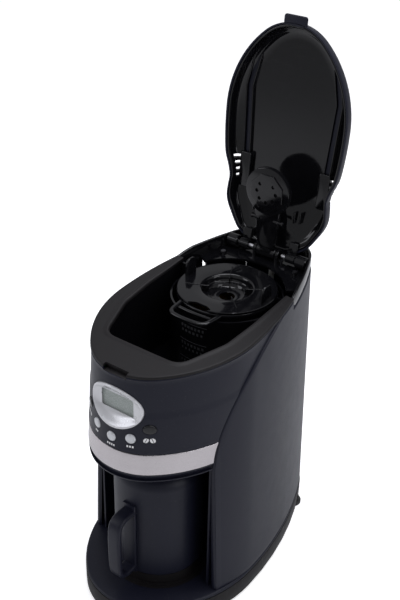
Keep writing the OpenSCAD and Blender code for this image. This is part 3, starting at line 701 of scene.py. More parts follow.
def front_housing():
    def top(y):
        return deck_height(y, -3.25)

    rows = front_skin(HOUSING_Z, top, 0, -WALL, level_rows(26, 1.2, 0.4), 1.2, 0.4)
    part = Part("front_housing_cover").grid(rows)
    recess = front_skin(BAND_Z + 0.3, HOUSING_Z + 0.3, -1.6, -4.2, level_rows(2, 0, 0), 0, 0)
    holes = [bezel_cutter(0.35)]
    holes += [key_cutter(x, z, 6.35, 6.35) for x, z in ROUND_KEYS.values()]
    holes += [key_cutter(x, z, 7.85, 6.35) for x, z in OVAL_KEYS.values()]
    recess_hole = box_part("latch_hole", (-16, -140, -6.5), (16, -111.4, 12), 0.8)
    recess_hole.verts = [on_deck(v) for v in recess_hole.verts]
    part.done("machine", "satin_black", "front_housing", cut=holes + [cutter(recess_hole)], sharp=30)
    tray = Part("latch_tray")
    soft_slab(tray, rounded_rect(31.6, 9, 1.0) + [0, -112.9], -7.4, -6.2, 0.4, on_deck)
    soft_slab(tray, rounded_rect(31.6, 1.4, 0.5) + [0, -110.4], -7.4, -2.6, 0.4, on_deck)
    tray.done("machine", "deck_black")
    Part("band_backing_rail").grid(recess).done("machine", "satin_black")


def band_and_lip():
    band = front_skin(BAND_Z + 0.3, BAND_Z + 26, 0.3, -1.2, level_rows(3, 0.5, 0.5), 0.5, 0.5)
    Part("band_strip").grid(band).done("machine", "band_steel", "steel_band")
    lip = front_skin(BAND_Z - 11, BAND_Z, -0.6, -4.2, level_rows(4, 0.6, 3.2), 0.6, 3.2)
    Part("lip_under_band").grid(lip).done("machine", "satin_black", "lower_lip")


def side_panel(sign, name, node, cut=()):
    """One flared side panel: rolled front edge, flange behind it, step down behind the deck."""
    rows = []
    roll = 3.4
    heights = np.concatenate([[0, 0.0012, 0.004], np.linspace(0.02, 0.93, 40), np.linspace(0.94, 0.996, 16),
                              [0.9985, 1]])
    rolled = np.array([0.0, 0.12, 0.35, 0.8, 1.5, 2.4, roll])
    back = np.linspace(0, 1, 22)
    for v in heights:
        z = np.full(1, BASE_TOP + 0.3)
        y_front = np.full(1, float(PANEL_FRONT))
        for _ in range(12):
            y_front = groove_y(z)
            z = BASE_TOP + 0.3 + v * (deck_height(y_front, -3.3) - BASE_TOP - 0.3)
        start = float(y_front[0])
        front = np.concatenate([start + rolled, np.linspace(start + roll, 96.6, 26)[1:]])
        front = np.maximum.accumulate(np.where(front > 96.6, 96.6, front))
        ys = np.concatenate([front, np.full(len(back), 97.0)])
        top = np.where(ys < 96.8, deck_height(ys, -3.3), deck_height(ys, -14.3))
        z_line = BASE_TOP + 0.3 + v * (top - BASE_TOP - 0.3)
        phi = phi_at(ys, z_line, True)
        z_rear = z_line[-1]
        phi_start = float(phi_at(97.0, z_rear, True))
        phi_rear = phi_start + back * (seam_phi(z_rear) - phi_start)
        for _ in range(3):
            y_rear = wall_point(phi_rear, z_rear, 0, True)[:, 1]
            z_back = BASE_TOP + 0.3 + v * (deck_height(y_rear, -14.3) - BASE_TOP - 0.3)
        phi[-len(back):] = phi_rear
        z_line[-len(back):] = z_back
        inset = np.maximum(0, 2 - ys) * 0.055
        inset[:len(rolled)] += [roll - math.sqrt(max(0, roll**2 - (roll - s) ** 2)) for s in rolled]
        flange = 9.0
        edge = {0: 0.8, 0.0012: 0.3, 0.9985: 0.3, 1: 0.9}.get(v, 0)
        outer = wall_point(phi, z_line, -inset - edge, True)
        outer = np.column_stack([outer, z_line])
        inner_y = np.maximum(ys, start + WALL)
        inner_phi = phi.copy()
        keep = inner_y > ys
        inner_phi[keep] = phi_at(inner_y[keep], z_line[keep], True)
        inner = np.column_stack([wall_point(inner_phi, z_line, -WALL, True), z_line])
        lip_phi = phi_at([start, start + 1.3, start + WALL], z_line[:3], True)
        lip = np.column_stack([wall_point(lip_phi, z_line[:3], -flange, True), z_line[:3]])
        loop = np.concatenate([outer[::-1], lip, inner])
        rows.append(loop * np.array([sign, 1, 1.0]))
    return Part(name).grid(np.array(rows)).done("machine", "satin_black", node, cut=cut, sharp=40)


def seam_phi(z, half=46.3):
    """Angle at which the outline's corner passes the rear seam."""
    low, high = 20.0, 90.0
    for _ in range(24):
        mid = (low + high) / 2
        inside = wall_point(mid, z, 0, True)[..., 0] > half
        low, high = (mid, high) if inside else (low, mid)
    return mid


def rear_cover():
    rows = []
    q = np.linspace(-1, 1, 61)
    for v in [0, 0.002, *np.linspace(0.02, 0.98, 24), 0.998, 1]:
        z = BASE_TOP + 0.3 + v * 310
        for _ in range(3):
            first = seam_phi(float(np.mean(z)), 46.0)
            phi = np.where(np.abs(q) > 0.35, first + (90 - first) * (1 - np.abs(q)) / 0.65,
                           90 + (0.35 - np.abs(q)) / 0.35 * 90)
            y = wall_point(phi, z, 0, True)[:, 1]
            z = BASE_TOP + 0.3 + v * (deck_height(y, -14.3) - BASE_TOP - 0.3)
        edge = 0.7 if v in (0, 1) else 0.2 if v in (0.002, 0.998) else 0.0
        sides = []
        for d in (-edge, -WALL):
            xy = wall_point(phi, z, d, True)
            sides.append(np.column_stack([xy[:, 0] * -np.sign(q + 1e-9), xy[:, 1], z]))
        rows.append(np.concatenate([sides[0], sides[1][::-1]]))
    slots = []
    for x in (-24, 0, 24):
        for i in range(6):
            slots.append(cutter(slot_part(x, 91.7 + i * 9)))
    Part("rear_cover_skin").grid(np.array(rows)).done("machine", "satin_black", "rear_cover", cut=slots,
                                                      sharp=35)


def slot_part(x, z):
    loop = rounded_rect(18, 3.5, 1.7, 4)
    rows = [np.column_stack([loop[:, 0] + x, np.full(len(loop), y), loop[:, 1] + z]) for y in (190, 230)]
    return Part("louvre").grid(np.array(rows))


def overflow_cutter():
    return cutter(box_part("overflow_hole", (-110, 131, 331), (-50, 142, 346.5), 0.8))


# ---------------------------------------------------------------- top deck and collar


def smooth_corners(points, radii, n=8):
    """Closed outline through points with each corner rounded by its own radius."""
    points = [np.asarray(p, float) for p in points]
    out = []
    for i, p in enumerate(points):
        a, b, r = points[i - 1], points[(i + 1) % len(points)], radii[i]
        u, w = (a - p) / np.linalg.norm(a - p), (b - p) / np.linalg.norm(b - p)
        half = math.acos(float(np.clip(u @ w, -1, 1))) / 2
        reach = r / math.tan(half)
        start, end = p + u * reach, p + w * reach
        for k in range(n + 1):
            t = k / n
            out.append((1 - t) ** 2 * start + 2 * t * (1 - t) * p + t * t * end)
    return np.array(out)


OPENING = smooth_corners([(50, -72), (70, -15), (73, 30), (73, 130), (-73, 130), (-73, 30), (-70, -15),
                          (-50, -72)],
                         [20, 34, 24, 1, 1, 24, 34, 20])


def ray_hit(loop, angle, centre=(0.0, 0.0)):
    """Where the ray from centre leaves a closed loop."""
    c, d = np.asarray(centre, float), np.array([math.cos(angle), math.sin(angle)])
    best = None
    for a, b in zip(loop, np.roll(loop, -1, 0)):
        e = b - a
        det = d[0] * -e[1] + d[1] * e[0]
        if abs(det) < 1e-12:
            continue
        w = a - c
        t = (w[0] * -e[1] + w[1] * e[0]) / det
        s = (d[0] * w[1] - d[1] * w[0]) / det
        if t > 0 and -1e-9 <= s <= 1 + 1e-9 and (best is None or t > best):
            best = t
    return c + d * best


def level_hit(loop, y):
    """Largest x of the loop at y."""
    xs = []
    for a, b in zip(loop, np.roll(loop, -1, 0)):
        if (a[1] - y) * (b[1] - y) <= 0 and a[1] != b[1]:
            xs.append(a[0] + (b[0] - a[0]) * (y - a[1]) / (b[1] - a[1]))
    return max(xs)


def deck_outline():
    phi = np.concatenate([np.linspace(-90, 0, 90), np.linspace(0.3, 30, 60)])
    z = np.full(len(phi), DECK_Z)
    for _ in range(4):
        xy = wall_point(phi, z, 0, False)
        z = deck_height(xy[:, 1])
    return np.concatenate([xy, (xy * [-1, 1])[::-1]])


def top_deck():
    rim_loop = deck_outline()
    hole = np.array([[p[0], p[1] * math.cos(TILT)] for p in OPENING])
    right = []
    for angle in np.radians(np.linspace(-90, 0, 62)):
        right.append((ray_hit(rim_loop, angle), ray_hit(hole, angle)))
    for y in np.linspace(0, 97, 30)[1:]:
        right.append((np.array([level_hit(rim_loop, y), y]), np.array([level_hit(hole, y), y])))
    pairs = [(o * [-1, 1], i * [-1, 1]) for o, i in right[:0:-1]] + right
    outer_profile = [(0, -3.0), (0, -1.7), (0.3, -0.9), (0.9, -0.3), (1.7, -0.03), (2.6, 0.0)]
    inner_profile = [(8.5, 0.0), (7.0, 0.1), (5.6, 0.45), (4.4, 0.9), (3.2, 1.15), (2.1, 1.1), (1.1, 0.7),
                     (0.4, 0.0),
                     (0.05, -0.9), (0.0, -3.0)]
    lift = np.array([0, -math.sin(TILT), math.cos(TILT)])
    rows = []
    for o, i in pairs:
        o3 = np.array([o[0], o[1], deck_height(o[1])])
        i3 = np.array([i[0], i[1], deck_height(i[1])])
        reach = np.linalg.norm(i3 - o3)
        along = (i3 - o3) / reach
        k = min(1.0, (reach - 1.0) / 11.5)
        fade = 1 - 0.62 * float(np.clip((i[1] - 40) / 24, 0, 1))
        loop = [o3 + along * a * k + lift * h for a, h in outer_profile]
        loop += [i3 - along * b * k + lift * (h * fade if h > 0 else h) for b, h in inner_profile]
        rows.append(loop)
    notch = box_part("lid_notch", (-16, -130, -6), (16, -111.4, 12), 1.2)
    notch.verts = [on_deck(v) for v in notch.verts]
    return Part("top_deck_cover").grid(np.array(rows)).done("machine", "deck_black", "top_deck",
                                                            cut=[cutter(notch)], sharp=42)


def collar_height(y):
    """Top of the collar's wall above the deck: an S-curve up behind the deck."""
    t = np.clip((np.asarray(y, float) - 99) / 16, 0, 1)
    return -0.2 + 4.2 * t * t * (3 - 2 * t)


def rear_collar():
    part = Part("rear_collar_moulding")
    q = np.linspace(-1, 1, 121)
    z_mid = 352.0
    first = float(phi_at(97.4, z_mid, False))
    phi = np.where(np.abs(q) > 0.16, first + (90 - first) * (1 - np.abs(q)) / 0.84,
                   90 + (0.16 - np.abs(q)) / 0.16 * 90)
    side = -np.sign(q + 1e-9)
    y = wall_point(phi, z_mid, 0, False)[:, 1]
    rows = []
    top = collar_height(y)
    profile = [(0, -14.0, 0), (0, -10.0, 0), (0, -1.1, 1), (0.3, -0.4, 1), (1.0, 0, 1), (2.5, 0, 1),
               (3.2, -0.4, 1),
               (3.5, -1.1, 1), (3.5, -14.0, 0)]
    for inset, h, at_top in profile:
        height = deck_height(y) + (top if at_top else 0) + h
        xy = wall_point(phi, np.minimum(height, TAPER_TOP), -inset, False)
        rows.append(np.column_stack([xy[:, 0] * side, xy[:, 1], height]))
    rows = np.array(rows).transpose(1, 0, 2)
    part.grid(rows)
    inner = wall_point(phi, z_mid, -3.2, False)
    use = inner[:, 1] > 129
    ring = np.column_stack([inner[use][:, 0] * side[use], inner[use][:, 1]])
    away = ring - [0, BASKET_Y]
    hub = away / np.linalg.norm(away, axis=1)[:, None] * 68.2 + [0, BASKET_Y]
    near = np.linalg.norm(away, axis=1) < 69
    hub[near] = ring[near] * 0.999
    floor = []
    for r2, h2 in zip(ring, hub):
        floor.append([(r2[0], r2[1], deck_height(r2[1], -14)), (h2[0], h2[1], deck_height(h2[1], -14)),
                      (h2[0], h2[1], deck_height(h2[1], -11.4)), (r2[0], r2[1], deck_height(r2[1], -11.4))])
    part.grid(np.array(floor))
    for sign in (-1, 1):
        skirt = []
        for yy in np.linspace(97.4, 149, 20):
            z_here = deck_height(yy, -28)
            f = float(phi_at(yy, z_here, False))
            o, i = wall_point(f, z_here, -3.3, False), wall_point(f, z_here, -5.4, False)
            low, high = deck_height(yy, -42), deck_height(yy, -13.5)
            skirt.append([(sign * o[0], o[1], low), (sign * o[0], o[1], high), (sign * i[0], i[1], high),
                          (sign * i[0], i[1], low)])
        part.grid(np.array(skirt))
        ear = rounded_rect(16, 10, 1.5)
        soft_slab(part, ear, 42.2, 56.8, 1.2, upright(sign, 0, HINGE[1], HINGE[2] - 4.9))
        part.lathe([(0, 42.2), (7.2, 42.2), (8, 43), (8, 56), (7.2, 56.8), (0, 56.8)],
                   (0, HINGE[1], HINGE[2]), 40,
                   (sign, 0, 0))
        part.lathe([(0, 14), (6.4, 14), (7, 14.6), (7, 17.4), (6.4, 18), (0, 18)], (0, HINGE[1], HINGE[2]),
                   40, (sign, 0, 0))
        soft_slab(part, rounded_rect(14, 15, 1.2), 14, 18, 0.6, upright(sign, 0, HINGE[1], HINGE[2] - 7.5))
    for x, yy in ((-49, 146), (22, 168), (50, 154)):
        spot = on_deck((x, yy, -12))
        part.lathe([(1.7, 0), (5.6, 0), (5.1, 3.4), (4.6, 4), (1.7, 4)], spot, 32,
                   (0, -math.sin(TILT), math.cos(TILT)))
    part.done("machine", "gloss_black", "rear_collar", cut=[overflow_cutter()], sharp=35)


# ---------------------------------------------------------------- control panel


def skin_y(p):
    """How far forward the housing's face lies at a point of the display panel."""
    return nose_place(float(np.clip(p[0], -60, 60)), LCD_Z + p[1])[0][1]


def display_bezel():
    """Silver oval: raised ring, then a dish that falls to the display window."""
    n = 96
    a = np.arange(n) * 2 * math.pi / n
    outer = oval(n, 35, 25)
    window = rounded_rect(44, 22, 1.6, 8)
    inner = np.array([ray_hit(window, t) for t in a])
    loops = []
    for j in range(n):
        o, w = outer[j], inner[j]
        loop = []
        y_window = -113.0
        for share, out in [(0, 3.5), (0, 0.2), (0.012, -0.45), (0.05, -0.85), (0.1, -0.95), (0.15, -0.8),
                           (0.2, -0.2)]:
            p = o + (w - o) * share
            loop.append((p[0], skin_y(p) + out, LCD_Z + p[1]))
        rim_p = o + (w - o) * 0.2
        y0 = skin_y(rim_p) - 0.2
        for share in (0.3, 0.42, 0.56, 0.72, 0.88, 0.97):
            p = o + (w - o) * share
            t = (share - 0.2) / 0.8
            fall = math.sin(t * math.pi / 2) ** 1.15
            loop.append((p[0], y0 + (y_window - y0) * fall, LCD_Z + p[1]))
        loop.append((w[0], y_window + 0.15, LCD_Z + w[1]))
        loop.append((w[0], y_window + 0.7, LCD_Z + w[1]))
        back = o + (w - o) * 0.25
        loop.append((back[0], max(skin_y(back) + 4.6, y_window + 0.7), LCD_Z + back[1]))
        loops.append(loop)
    Part("display_oval_bezel").grid(np.array(loops), wrap_rows=True).done("machine", "silver_plastic",
                                                                          "lcd_bezel", sharp=50)


def keys():
    round_cap = [(0, -1.2), (2.5, -1.15), (4.4, -0.9), (5.4, -0.5), (5.85, 0.1), (6, 0.8), (6, 6), (8.2, 6),
                 (8.2, 7.4), (2.2, 7.4)]
    stems = {"hour": 19.5, "program": 23, "minute": 19.5, "brew": 9.2, "grind_off": 9.2}
    for name, (x, z) in {**ROUND_KEYS, **OVAL_KEYS}.items():
        spot, right, up, inward = nose_place(x, z)
        oval = name in OVAL_KEYS
        part = Part(f"{name}_key_cap")
        profile = round_cap + [(2.2, stems[name]), (0, stems[name])]
        rows = []
        a = np.arange(48) * 2 * math.pi / 48
        for r, h in profile:
            wide = r * 1.25 if oval and h <= 6 else r
            rows.append(spot + inward * h + np.cos(a)[:, None] * right * wide + np.sin(a)[:, None] * up * r)
        part.grid(np.array(rows))
        part.done(f"{name}_button", "gloss_black" if oval else "key_silver", f"button_{name}", sharp=50)


def printed_marks():
    """Plain marks under the keys: bars under the round ones, two beans under the grind key."""
    part = Part("key_marks")

    def patch(x, z, outline):
        rows = []
        for lift in (-0.02, 0.06):
            ring = []
            for u, v in outline:
                spot, _, _, inward = nose_place(x + u, z + v)
                ring.append(spot - inward * lift)
            rows.append(ring)
        part.grid(np.array(rows))

    for (x, z), bars in zip(ROUND_KEYS.values(), (2, 4, 3)):
        for k in range(bars):
            patch(x + (k - (bars - 1) / 2) * 2.9, z - 9.6, rounded_rect(1.9, 2.6, 0.6, 3))
    for sign in (-1, 1):
        for lean in (-1, 1):
            a = np.arange(24) * 2 * math.pi / 24
            tilt = math.radians(20 * lean)
            for half in (-1, 1):
                u = 2.1 * np.cos(a)
                v = 3.0 * np.sin(a)
                u = np.where(u * half > 0, u, 0.0) + half * 0.28
                bean = np.stack([u * math.cos(tilt) - v * math.sin(tilt), u * math.sin(tilt)
                                 + v * math.cos(tilt)], -1)
                shown = bean if sign > 0 else bean * 0.72
                patch(sign * 41.5 + lean * 2.9, 267.5, shown)
    part.done("machine", "silver_plastic", material=INK, sharp=60)


# ---------------------------------------------------------------- lid


def catmull(points, per):
    """Smooth curve through given points."""
    p = np.asarray(points, float)
    p = np.concatenate([[2 * p[0] - p[1]], p, [2 * p[-1] - p[-2]]])
    out = []
    for i in range(1, len(p) - 2):
        for k in range(per):
            t = k / per
            slope = p[i + 1] - p[i - 1]
            bend = 2 * p[i - 1] - 5 * p[i] + 4 * p[i + 1] - p[i + 2]
            twist = 3 * p[i] - p[i - 1] - 3 * p[i + 1] + p[i + 2]
            out.append(0.5 * (2 * p[i] + slope * t + bend * t * t + twist * t**3))
    return np.array(out + [p[-2]])


LID = dict(half=82, mid=7, nose=58, flank=408, corner=1, rear=300)
WAIST = [(77, 66), (71.5, 80), (68.6, 92), (69.8, 104), (70.3, 117), (67.2, 128), (61, 139), (52, 153),
         (43, 160.5),
         (33, 166.5), (20, 171)]


def lid_rim():
    phi = np.concatenate([np.linspace(-90, -49, 16)[:-1], np.linspace(-49, 0, 16)[:-1],
                          np.linspace(0, 6.5, 5)])
    arcs = rim(LID, phi)
    tail = catmull([arcs[-2], arcs[-1], *WAIST], 4)[4:]
    half = np.concatenate([arcs[:-1], tail])
    return np.concatenate([half, (half[:0:-1] * [-1, 1])])


LID_RIM = lid_rim()


def lid_share(y):
    return np.where(y < 110, 1, 1 - 0.62 * ((np.maximum(y, 110) - 110) / 61) ** 2)


def lid_ring(d, z, follow=True):
    x = LID_RIM[:, 0] * (1 - d / 80)
    y = 36 + (LID_RIM[:, 1] - 36) * (1 - d / 138)
    return np.column_stack([x, y, z * lid_share(LID_RIM[:, 1]) if follow else np.full_like(x, z)])


def crown(rings):
    """Rows over the lid from rim to spine, as faces of a single closed skin made with the rows below."""
    return [on_deck(lid_ring(d, z, z > 1)) for d, z in rings]


def lid_outer():
    outside = [(0.5, 0.6), (0.12, 0.75), (0, 1.2), (0, 4), (0.5, 9), (1.4, 12.5), (2.9, 15.6), (5, 18.4),
               (8, 20.9), (12, 22.8),
               (17, 24.1), (24, 25.0), (34, 25.6), (48, 25.9), (64, 26), (80, 26)]
    inside = [(80, 23.8), (60, 23.8), (40, 23.5), (24, 22.8), (12, 20.7), (8, 18.9), (5.2, 16), (3.6, 12),
              (2.7, 8.6),
              (2.2, 4), (2.2, 1.2), (1.9, 0.75), (1.3, 0.6)]
    part = Part("lid_outer_cover").grid(np.array(crown(inside + outside)), caps=False)
    tongue = rounded_rect(30, 12, 3) + [0, -105.9]
    soft_slab(part, tongue, 0.6, 3.6, 1.0, on_deck)
    part.verts = [opened(v, LID_OPEN) for v in part.verts]
    return part.done("lid", "satin_black", "lid_outer_shell", cut=vent_cutters() + [hinge_cutter()], sharp=42)


def lid_liner():
    inside = [(3.3, 1.8), (2.95, 1.95), (2.85, 2.4), (2.95, 8), (3.9, 12), (5.5, 15.4), (8.5, 18.2),
              (12.5, 19.9), (24, 21.9),
              (40, 22.6), (60, 22.9), (80, 22.9)]
    face = [(80, 19.4), (60, 19.4), (40, 19.4), (22, 19.3), (16, 19.1), (13.4, 18.6), (12.2, 17.6),
            (10.6, 16.8), (8.4, 15.8),
            (6.8, 13.6), (5.7, 10), (5.1, 6), (4.9, 2.6), (4.6, 2.0), (4.1, 1.8)]
    shell = Part("lid_gloss_liner").grid(np.array(crown(face + inside)), caps=False)
    shell.verts = [opened(v, LID_OPEN) for v in shell.verts]
    shell.done("lid", "gloss_black", "lid_inner_liner", cut=vent_cutters() + [hinge_cutter()], sharp=40)
    part = Part("lid_liner_fittings")
    strips = Part("lid_rail_strips")
    along = np.linspace(62, -58, 26)
    for s in (-1, 1):
        for offset, high in ((0.0, 5.2), (8.2, 4.2)):
            across = s * (60.5 - offset + np.interp(along, [-58, -20, 62], [-4.0, 4.5, 0.0]))
            path = np.column_stack([across, along, np.full(26, 19.8 - high / 2)])
            part.sweep(path, rounded_rect(1.5, high, 0.6, 3))
        strip = np.column_stack([across + s * 4.1, along, np.full(26, 18.4)])
        strips.sweep(strip, rounded_rect(6.2, 1.6, 0.5, 3))
        block = rounded_rect(15, 44, 3) + [s * 55.5, 84]
        soft_slab(part, block, 12.6, 19.6, 1.2)
        soft_slab(part, rounded_rect(2.4, 14, 0.8) + [s * 25.6, 123], 6, 13, 0.6)
        soft_slab(part, rounded_rect(2.0, 14, 0.8) + [s * 33.5, 122], 6, 13, 0.6)
    part.verts = [on_deck(v) for v in part.verts]
    for s in (-1, 1):
        part.lathe([(2.55, 27.1), (5.0, 27.1), (5.5, 27.6), (5.5, 39.9), (5.0, 40.4), (2.55, 40.4)],
                   (0, HINGE[1], HINGE[2]), 36, (s, 0, 0))
        tab = rounded_rect(12.4, 19, 1.5) + [s * 33.25, HINGE[1] - 10.4]
        soft_slab(part, tab, HINGE[2] + 1.1, HINGE[2] + 6.9, 0.8)
    part.verts = [opened(v, LID_OPEN) for v in part.verts]
    part.done("lid", "gloss_black", sharp=40)
    strips.verts = [opened(on_deck(v), LID_OPEN) for v in strips.verts]
    strips.done("lid", "satin_black", sharp=40)


def hinge_cutter(r=8.8):
    """Clears the lid's mouldings round the hinge, for the arm's barrel and the collar's ears."""
    return cutter(Part("hinge_room").lathe([(0, -58), (r, -58), (r, 58), (0, 58)], (0, HINGE[1], HINGE[2]),
                                           48, (1, 0, 0)))


def vent_cutters():
    cutters = []
    for s in (-1, 1):
        for i in range(4):
            y = 69.8 + i * 7.6
            loop = rounded_rect(30, 3.9, 1.0, 3) + [s * 66, y]
            rows = np.array([np.column_stack([loop, np.full(len(loop), z)]) for z in (9.0, 40.0)])
            part = Part("vent").grid(opened(on_deck(rows), LID_OPEN))
            cutters.append(cutter(part))
    return cutters


# ---------------------------------------------------------------- shower arm


def shower_arm():
    low = HINGE[2] - 11.5
    head = (0, HINGE[1] - 82, low)
    part = Part("shower_arm_moulding")
    part.lathe([(0, 2), (28.6, 2), (29.7, 2.5), (30, 3.4), (30, 8), (29.6, 8.8), (28.4, 9.3), (27.2, 9.8),
                (27, 12.6), (26.2, 13.2),
                (0, 13.4)], head, 96)
    neck = [(-18, head[1] + 21), (18, head[1] + 21), (15.2, HINGE[1] - 40), (12.6, HINGE[1] - 14),
            (9.6, HINGE[1] - 7),
            (-9.6, HINGE[1] - 7), (-12.6, HINGE[1] - 14), (-15.2, HINGE[1] - 40)]
    outline = smooth_corners(neck, [4, 4, 20, 8, 2, 2, 8, 20], 5)
    soft_slab(part, outline, low + 4.1, low + 10.9, 1.4)
    ridge = smooth_corners([(-9, head[1] + 26), (9, head[1] + 26), (7, HINGE[1] - 16), (-7, HINGE[1] - 16)],
                           [3, 3, 2, 2], 4)
    soft_slab(part, ridge, low + 10.2, low + 12.2, 0.8)
    soft_slab(part, rounded_rect(16, 10, 1.5) + [0, HINGE[1] - 5.2], low + 4.1, low + 11.4, 1.0)
    barrel = [(3.05, -13), (6.9, -13), (7.5, -12.4), (7.5, 12.4), (6.9, 13), (3.05, 13)]
    part.lathe(barrel, (0, HINGE[1], HINGE[2]), 48, (1, 0, 0))
    for s in (-1, 1):
        stud = [(0, 10), (3.0, 10), (3.0, 15.4), (2.4, 15.8), (2.4, 20.0), (3.0, 20.4), (3.0, 22.0),
                (2.6, 22.4), (0, 22.4)]
        part.lathe(stud, (0, HINGE[1] - 45, low + 6), 28, (s, 0, 0))
    part.verts = [opened(v, ARM_OPEN) for v in part.verts]
    part.done("shower_arm", "gloss_black", "shower_arm", sharp=38)
    plate = Part("shower_plate")
    turns = np.radians(22.5 + 45 * np.arange(8))
    ring = 23.5 * np.stack([np.cos(turns), np.sin(turns)], -1) + [0, head[1]]
    outline = smooth_corners(ring, [1.5] * 8, 3)
    soft_slab(plate, outline, low, low + 1.98, 0.6)
    plate.verts = [opened(v, ARM_OPEN) for v in plate.verts]
    holes = Part("spray_holes")
    points, faces = hole_ring().make("gloss_black", Count=7, First_Turn=math.radians(-45),
                                     Turn_Step=math.radians(45),
                                     Ring_Radius=13.0, Hole_Radius=2.3, Depth=10.0)
    holes.add(opened(points + [0, head[1], low + 1], ARM_OPEN), faces)
    plate.done("shower_arm", "gloss_black", "shower_cap", cut=[cutter(holes)], sharp=38)


# ---------------------------------------------------------------- basket and its lid


def basket_lid():
    centre = (0, BASKET_Y, 0)
    part = Part("basket_lid_moulding")
    dish = [(59.5, 350.6), (59.3, 351.8), (58.6, 352.4), (56, 352.5), (44, 352.3), (32.6, 352.4),
            (31.2, 352.0), (30.2, 351.0),
            (29.4, 348), (28.9, 345.4), (28.2, 344.4), (26.8, 344.0), (24.2, 344.2), (23.2, 344.8),
            (22.2, 344.7), (21.3, 343.8),
            (20.3, 341.6), (18.6, 340.8), (14, 340.4), (10.2, 340.3), (9.2, 340.0), (9, 339.2), (9.2, 338.5),
            (14, 338.4), (20.8, 338.7), (22.4, 341.2), (29.6, 342.0), (31.0, 343.2), (32.2, 349.4),
            (33.2, 350.1), (58, 350.0)]
    part.lathe(dish, centre, 128)
    fittings = Part("basket_lid_grips")
    for turn in (28, 118, 208, 318):
        a = math.radians(turn)
        u = np.array([math.cos(a), math.sin(a)])
        for r0, r1, z0, z1 in ((21.5, 31.5, 343.0, 352.2), (33, 50, 352.2, 353.1)):
            line = [np.array([*(u * r + [0, BASKET_Y]), (z0 + z1) / 2]) for r in np.linspace(r0, r1, 6)]
            fittings.sweep(line, rounded_rect(1.3, z1 - z0, 0.45, 3))
    for s in (-1, 1):
        grip = smooth_corners([(-10, -1.5), (10, -1.5), (9.5, 10), (7.5, 20.6), (-7.5, 20.6), (-9.5, 10)],
                              [1, 1, 10, 7, 7, 10], 5)
        soft_slab(fittings, grip, -1.4, 1.4, 1.0, upright(s, 54, BASKET_Y, 352.3))
    crescent = smooth_corners([(-18, 30), (-6, 25.2), (8, 25.6), (17, 31), (8, 35.5), (-8, 36)],
                              [2, 8, 8, 2, 8, 8], 5)
    hole = Part("crescent").grid(np.array([np.column_stack([crescent, np.full(len(crescent), z)])
                                           for z in (348, 356)]))
    part.done("basket_lid", "gloss_black", "basket_lid", cut=[cutter(hole)], sharp=38)
    fittings.done("basket_lid", "gloss_black", sharp=38)


def brew_basket():
    part = Part("brew_basket_moulding")
    cup = [(3.56, 270), (57.6, 270), (58.5, 271), (58.5, 344), (58.9, 345), (59.7, 345.3), (60, 346),
           (60, 348.8), (59.6, 349.4),
           (57.4, 349.4), (56.6, 348.9), (56.4, 347.5), (56.2, 345), (56.2, 274), (54.5, 272.4),
           (3.56, 272.4)]
    part.lathe(cup, (0, BASKET_Y, 0), 128)
    path = catmull([(-27, 34.5, 347.2), (-26.4, 26, 347.2), (-24.8, 13, 347.2), (-20, 6.6, 347.2),
                    (-10, 4.6, 347.2), (0, 4.2, 347.2),
                    (10, 4.6, 347.2), (20, 6.6, 347.2), (24.8, 13, 347.2), (26.4, 26, 347.2),
                    (27, 34.5, 347.2)], 6)
    part.sweep(path, rounded_rect(5.6, 4.2, 1.9, 5))
    part.sweep(catmull([(-22, 22.6, 346.6), (0, 21.2, 346.6), (22, 22.6, 346.6)], 8),
               rounded_rect(4.4, 3.2, 1.4, 4))
    part.done("brew_basket", "gloss_black", "brew_basket", sharp=38)


def level_marks():
    """Raised level lines and cup bars on the front of the chamber wall."""
    part = Part("tank_level_marks")
    row = mark_row()
    radius = 67.07
    front = math.radians(-90)
    for group, z in enumerate((332, 308, 284)):
        rows = ((13, -18.0, 2.9, 3.0, 0.7, 0.35, 1.0), (7, -16.0, 4.9, 2.0, 3.2, -4.8, 1.6),
                (6, -15.0, 5.4, 1.6, 2.8, -11.0, 2.0))
        for count, first, step, width, height, rise, spread in rows:
            points, faces = row.make("inner_grey", Count=count, First_Turn=front + first / radius,
                                     Turn_Step=step / radius, Ring_Radius=radius, Width=width,
                                     Height=height, Spread=spread, Seed=group)
            part.add(points + [0, BASKET_Y, z + rise], faces)
    part.done("machine", "inner_grey")


# ---------------------------------------------------------------- base and carafe


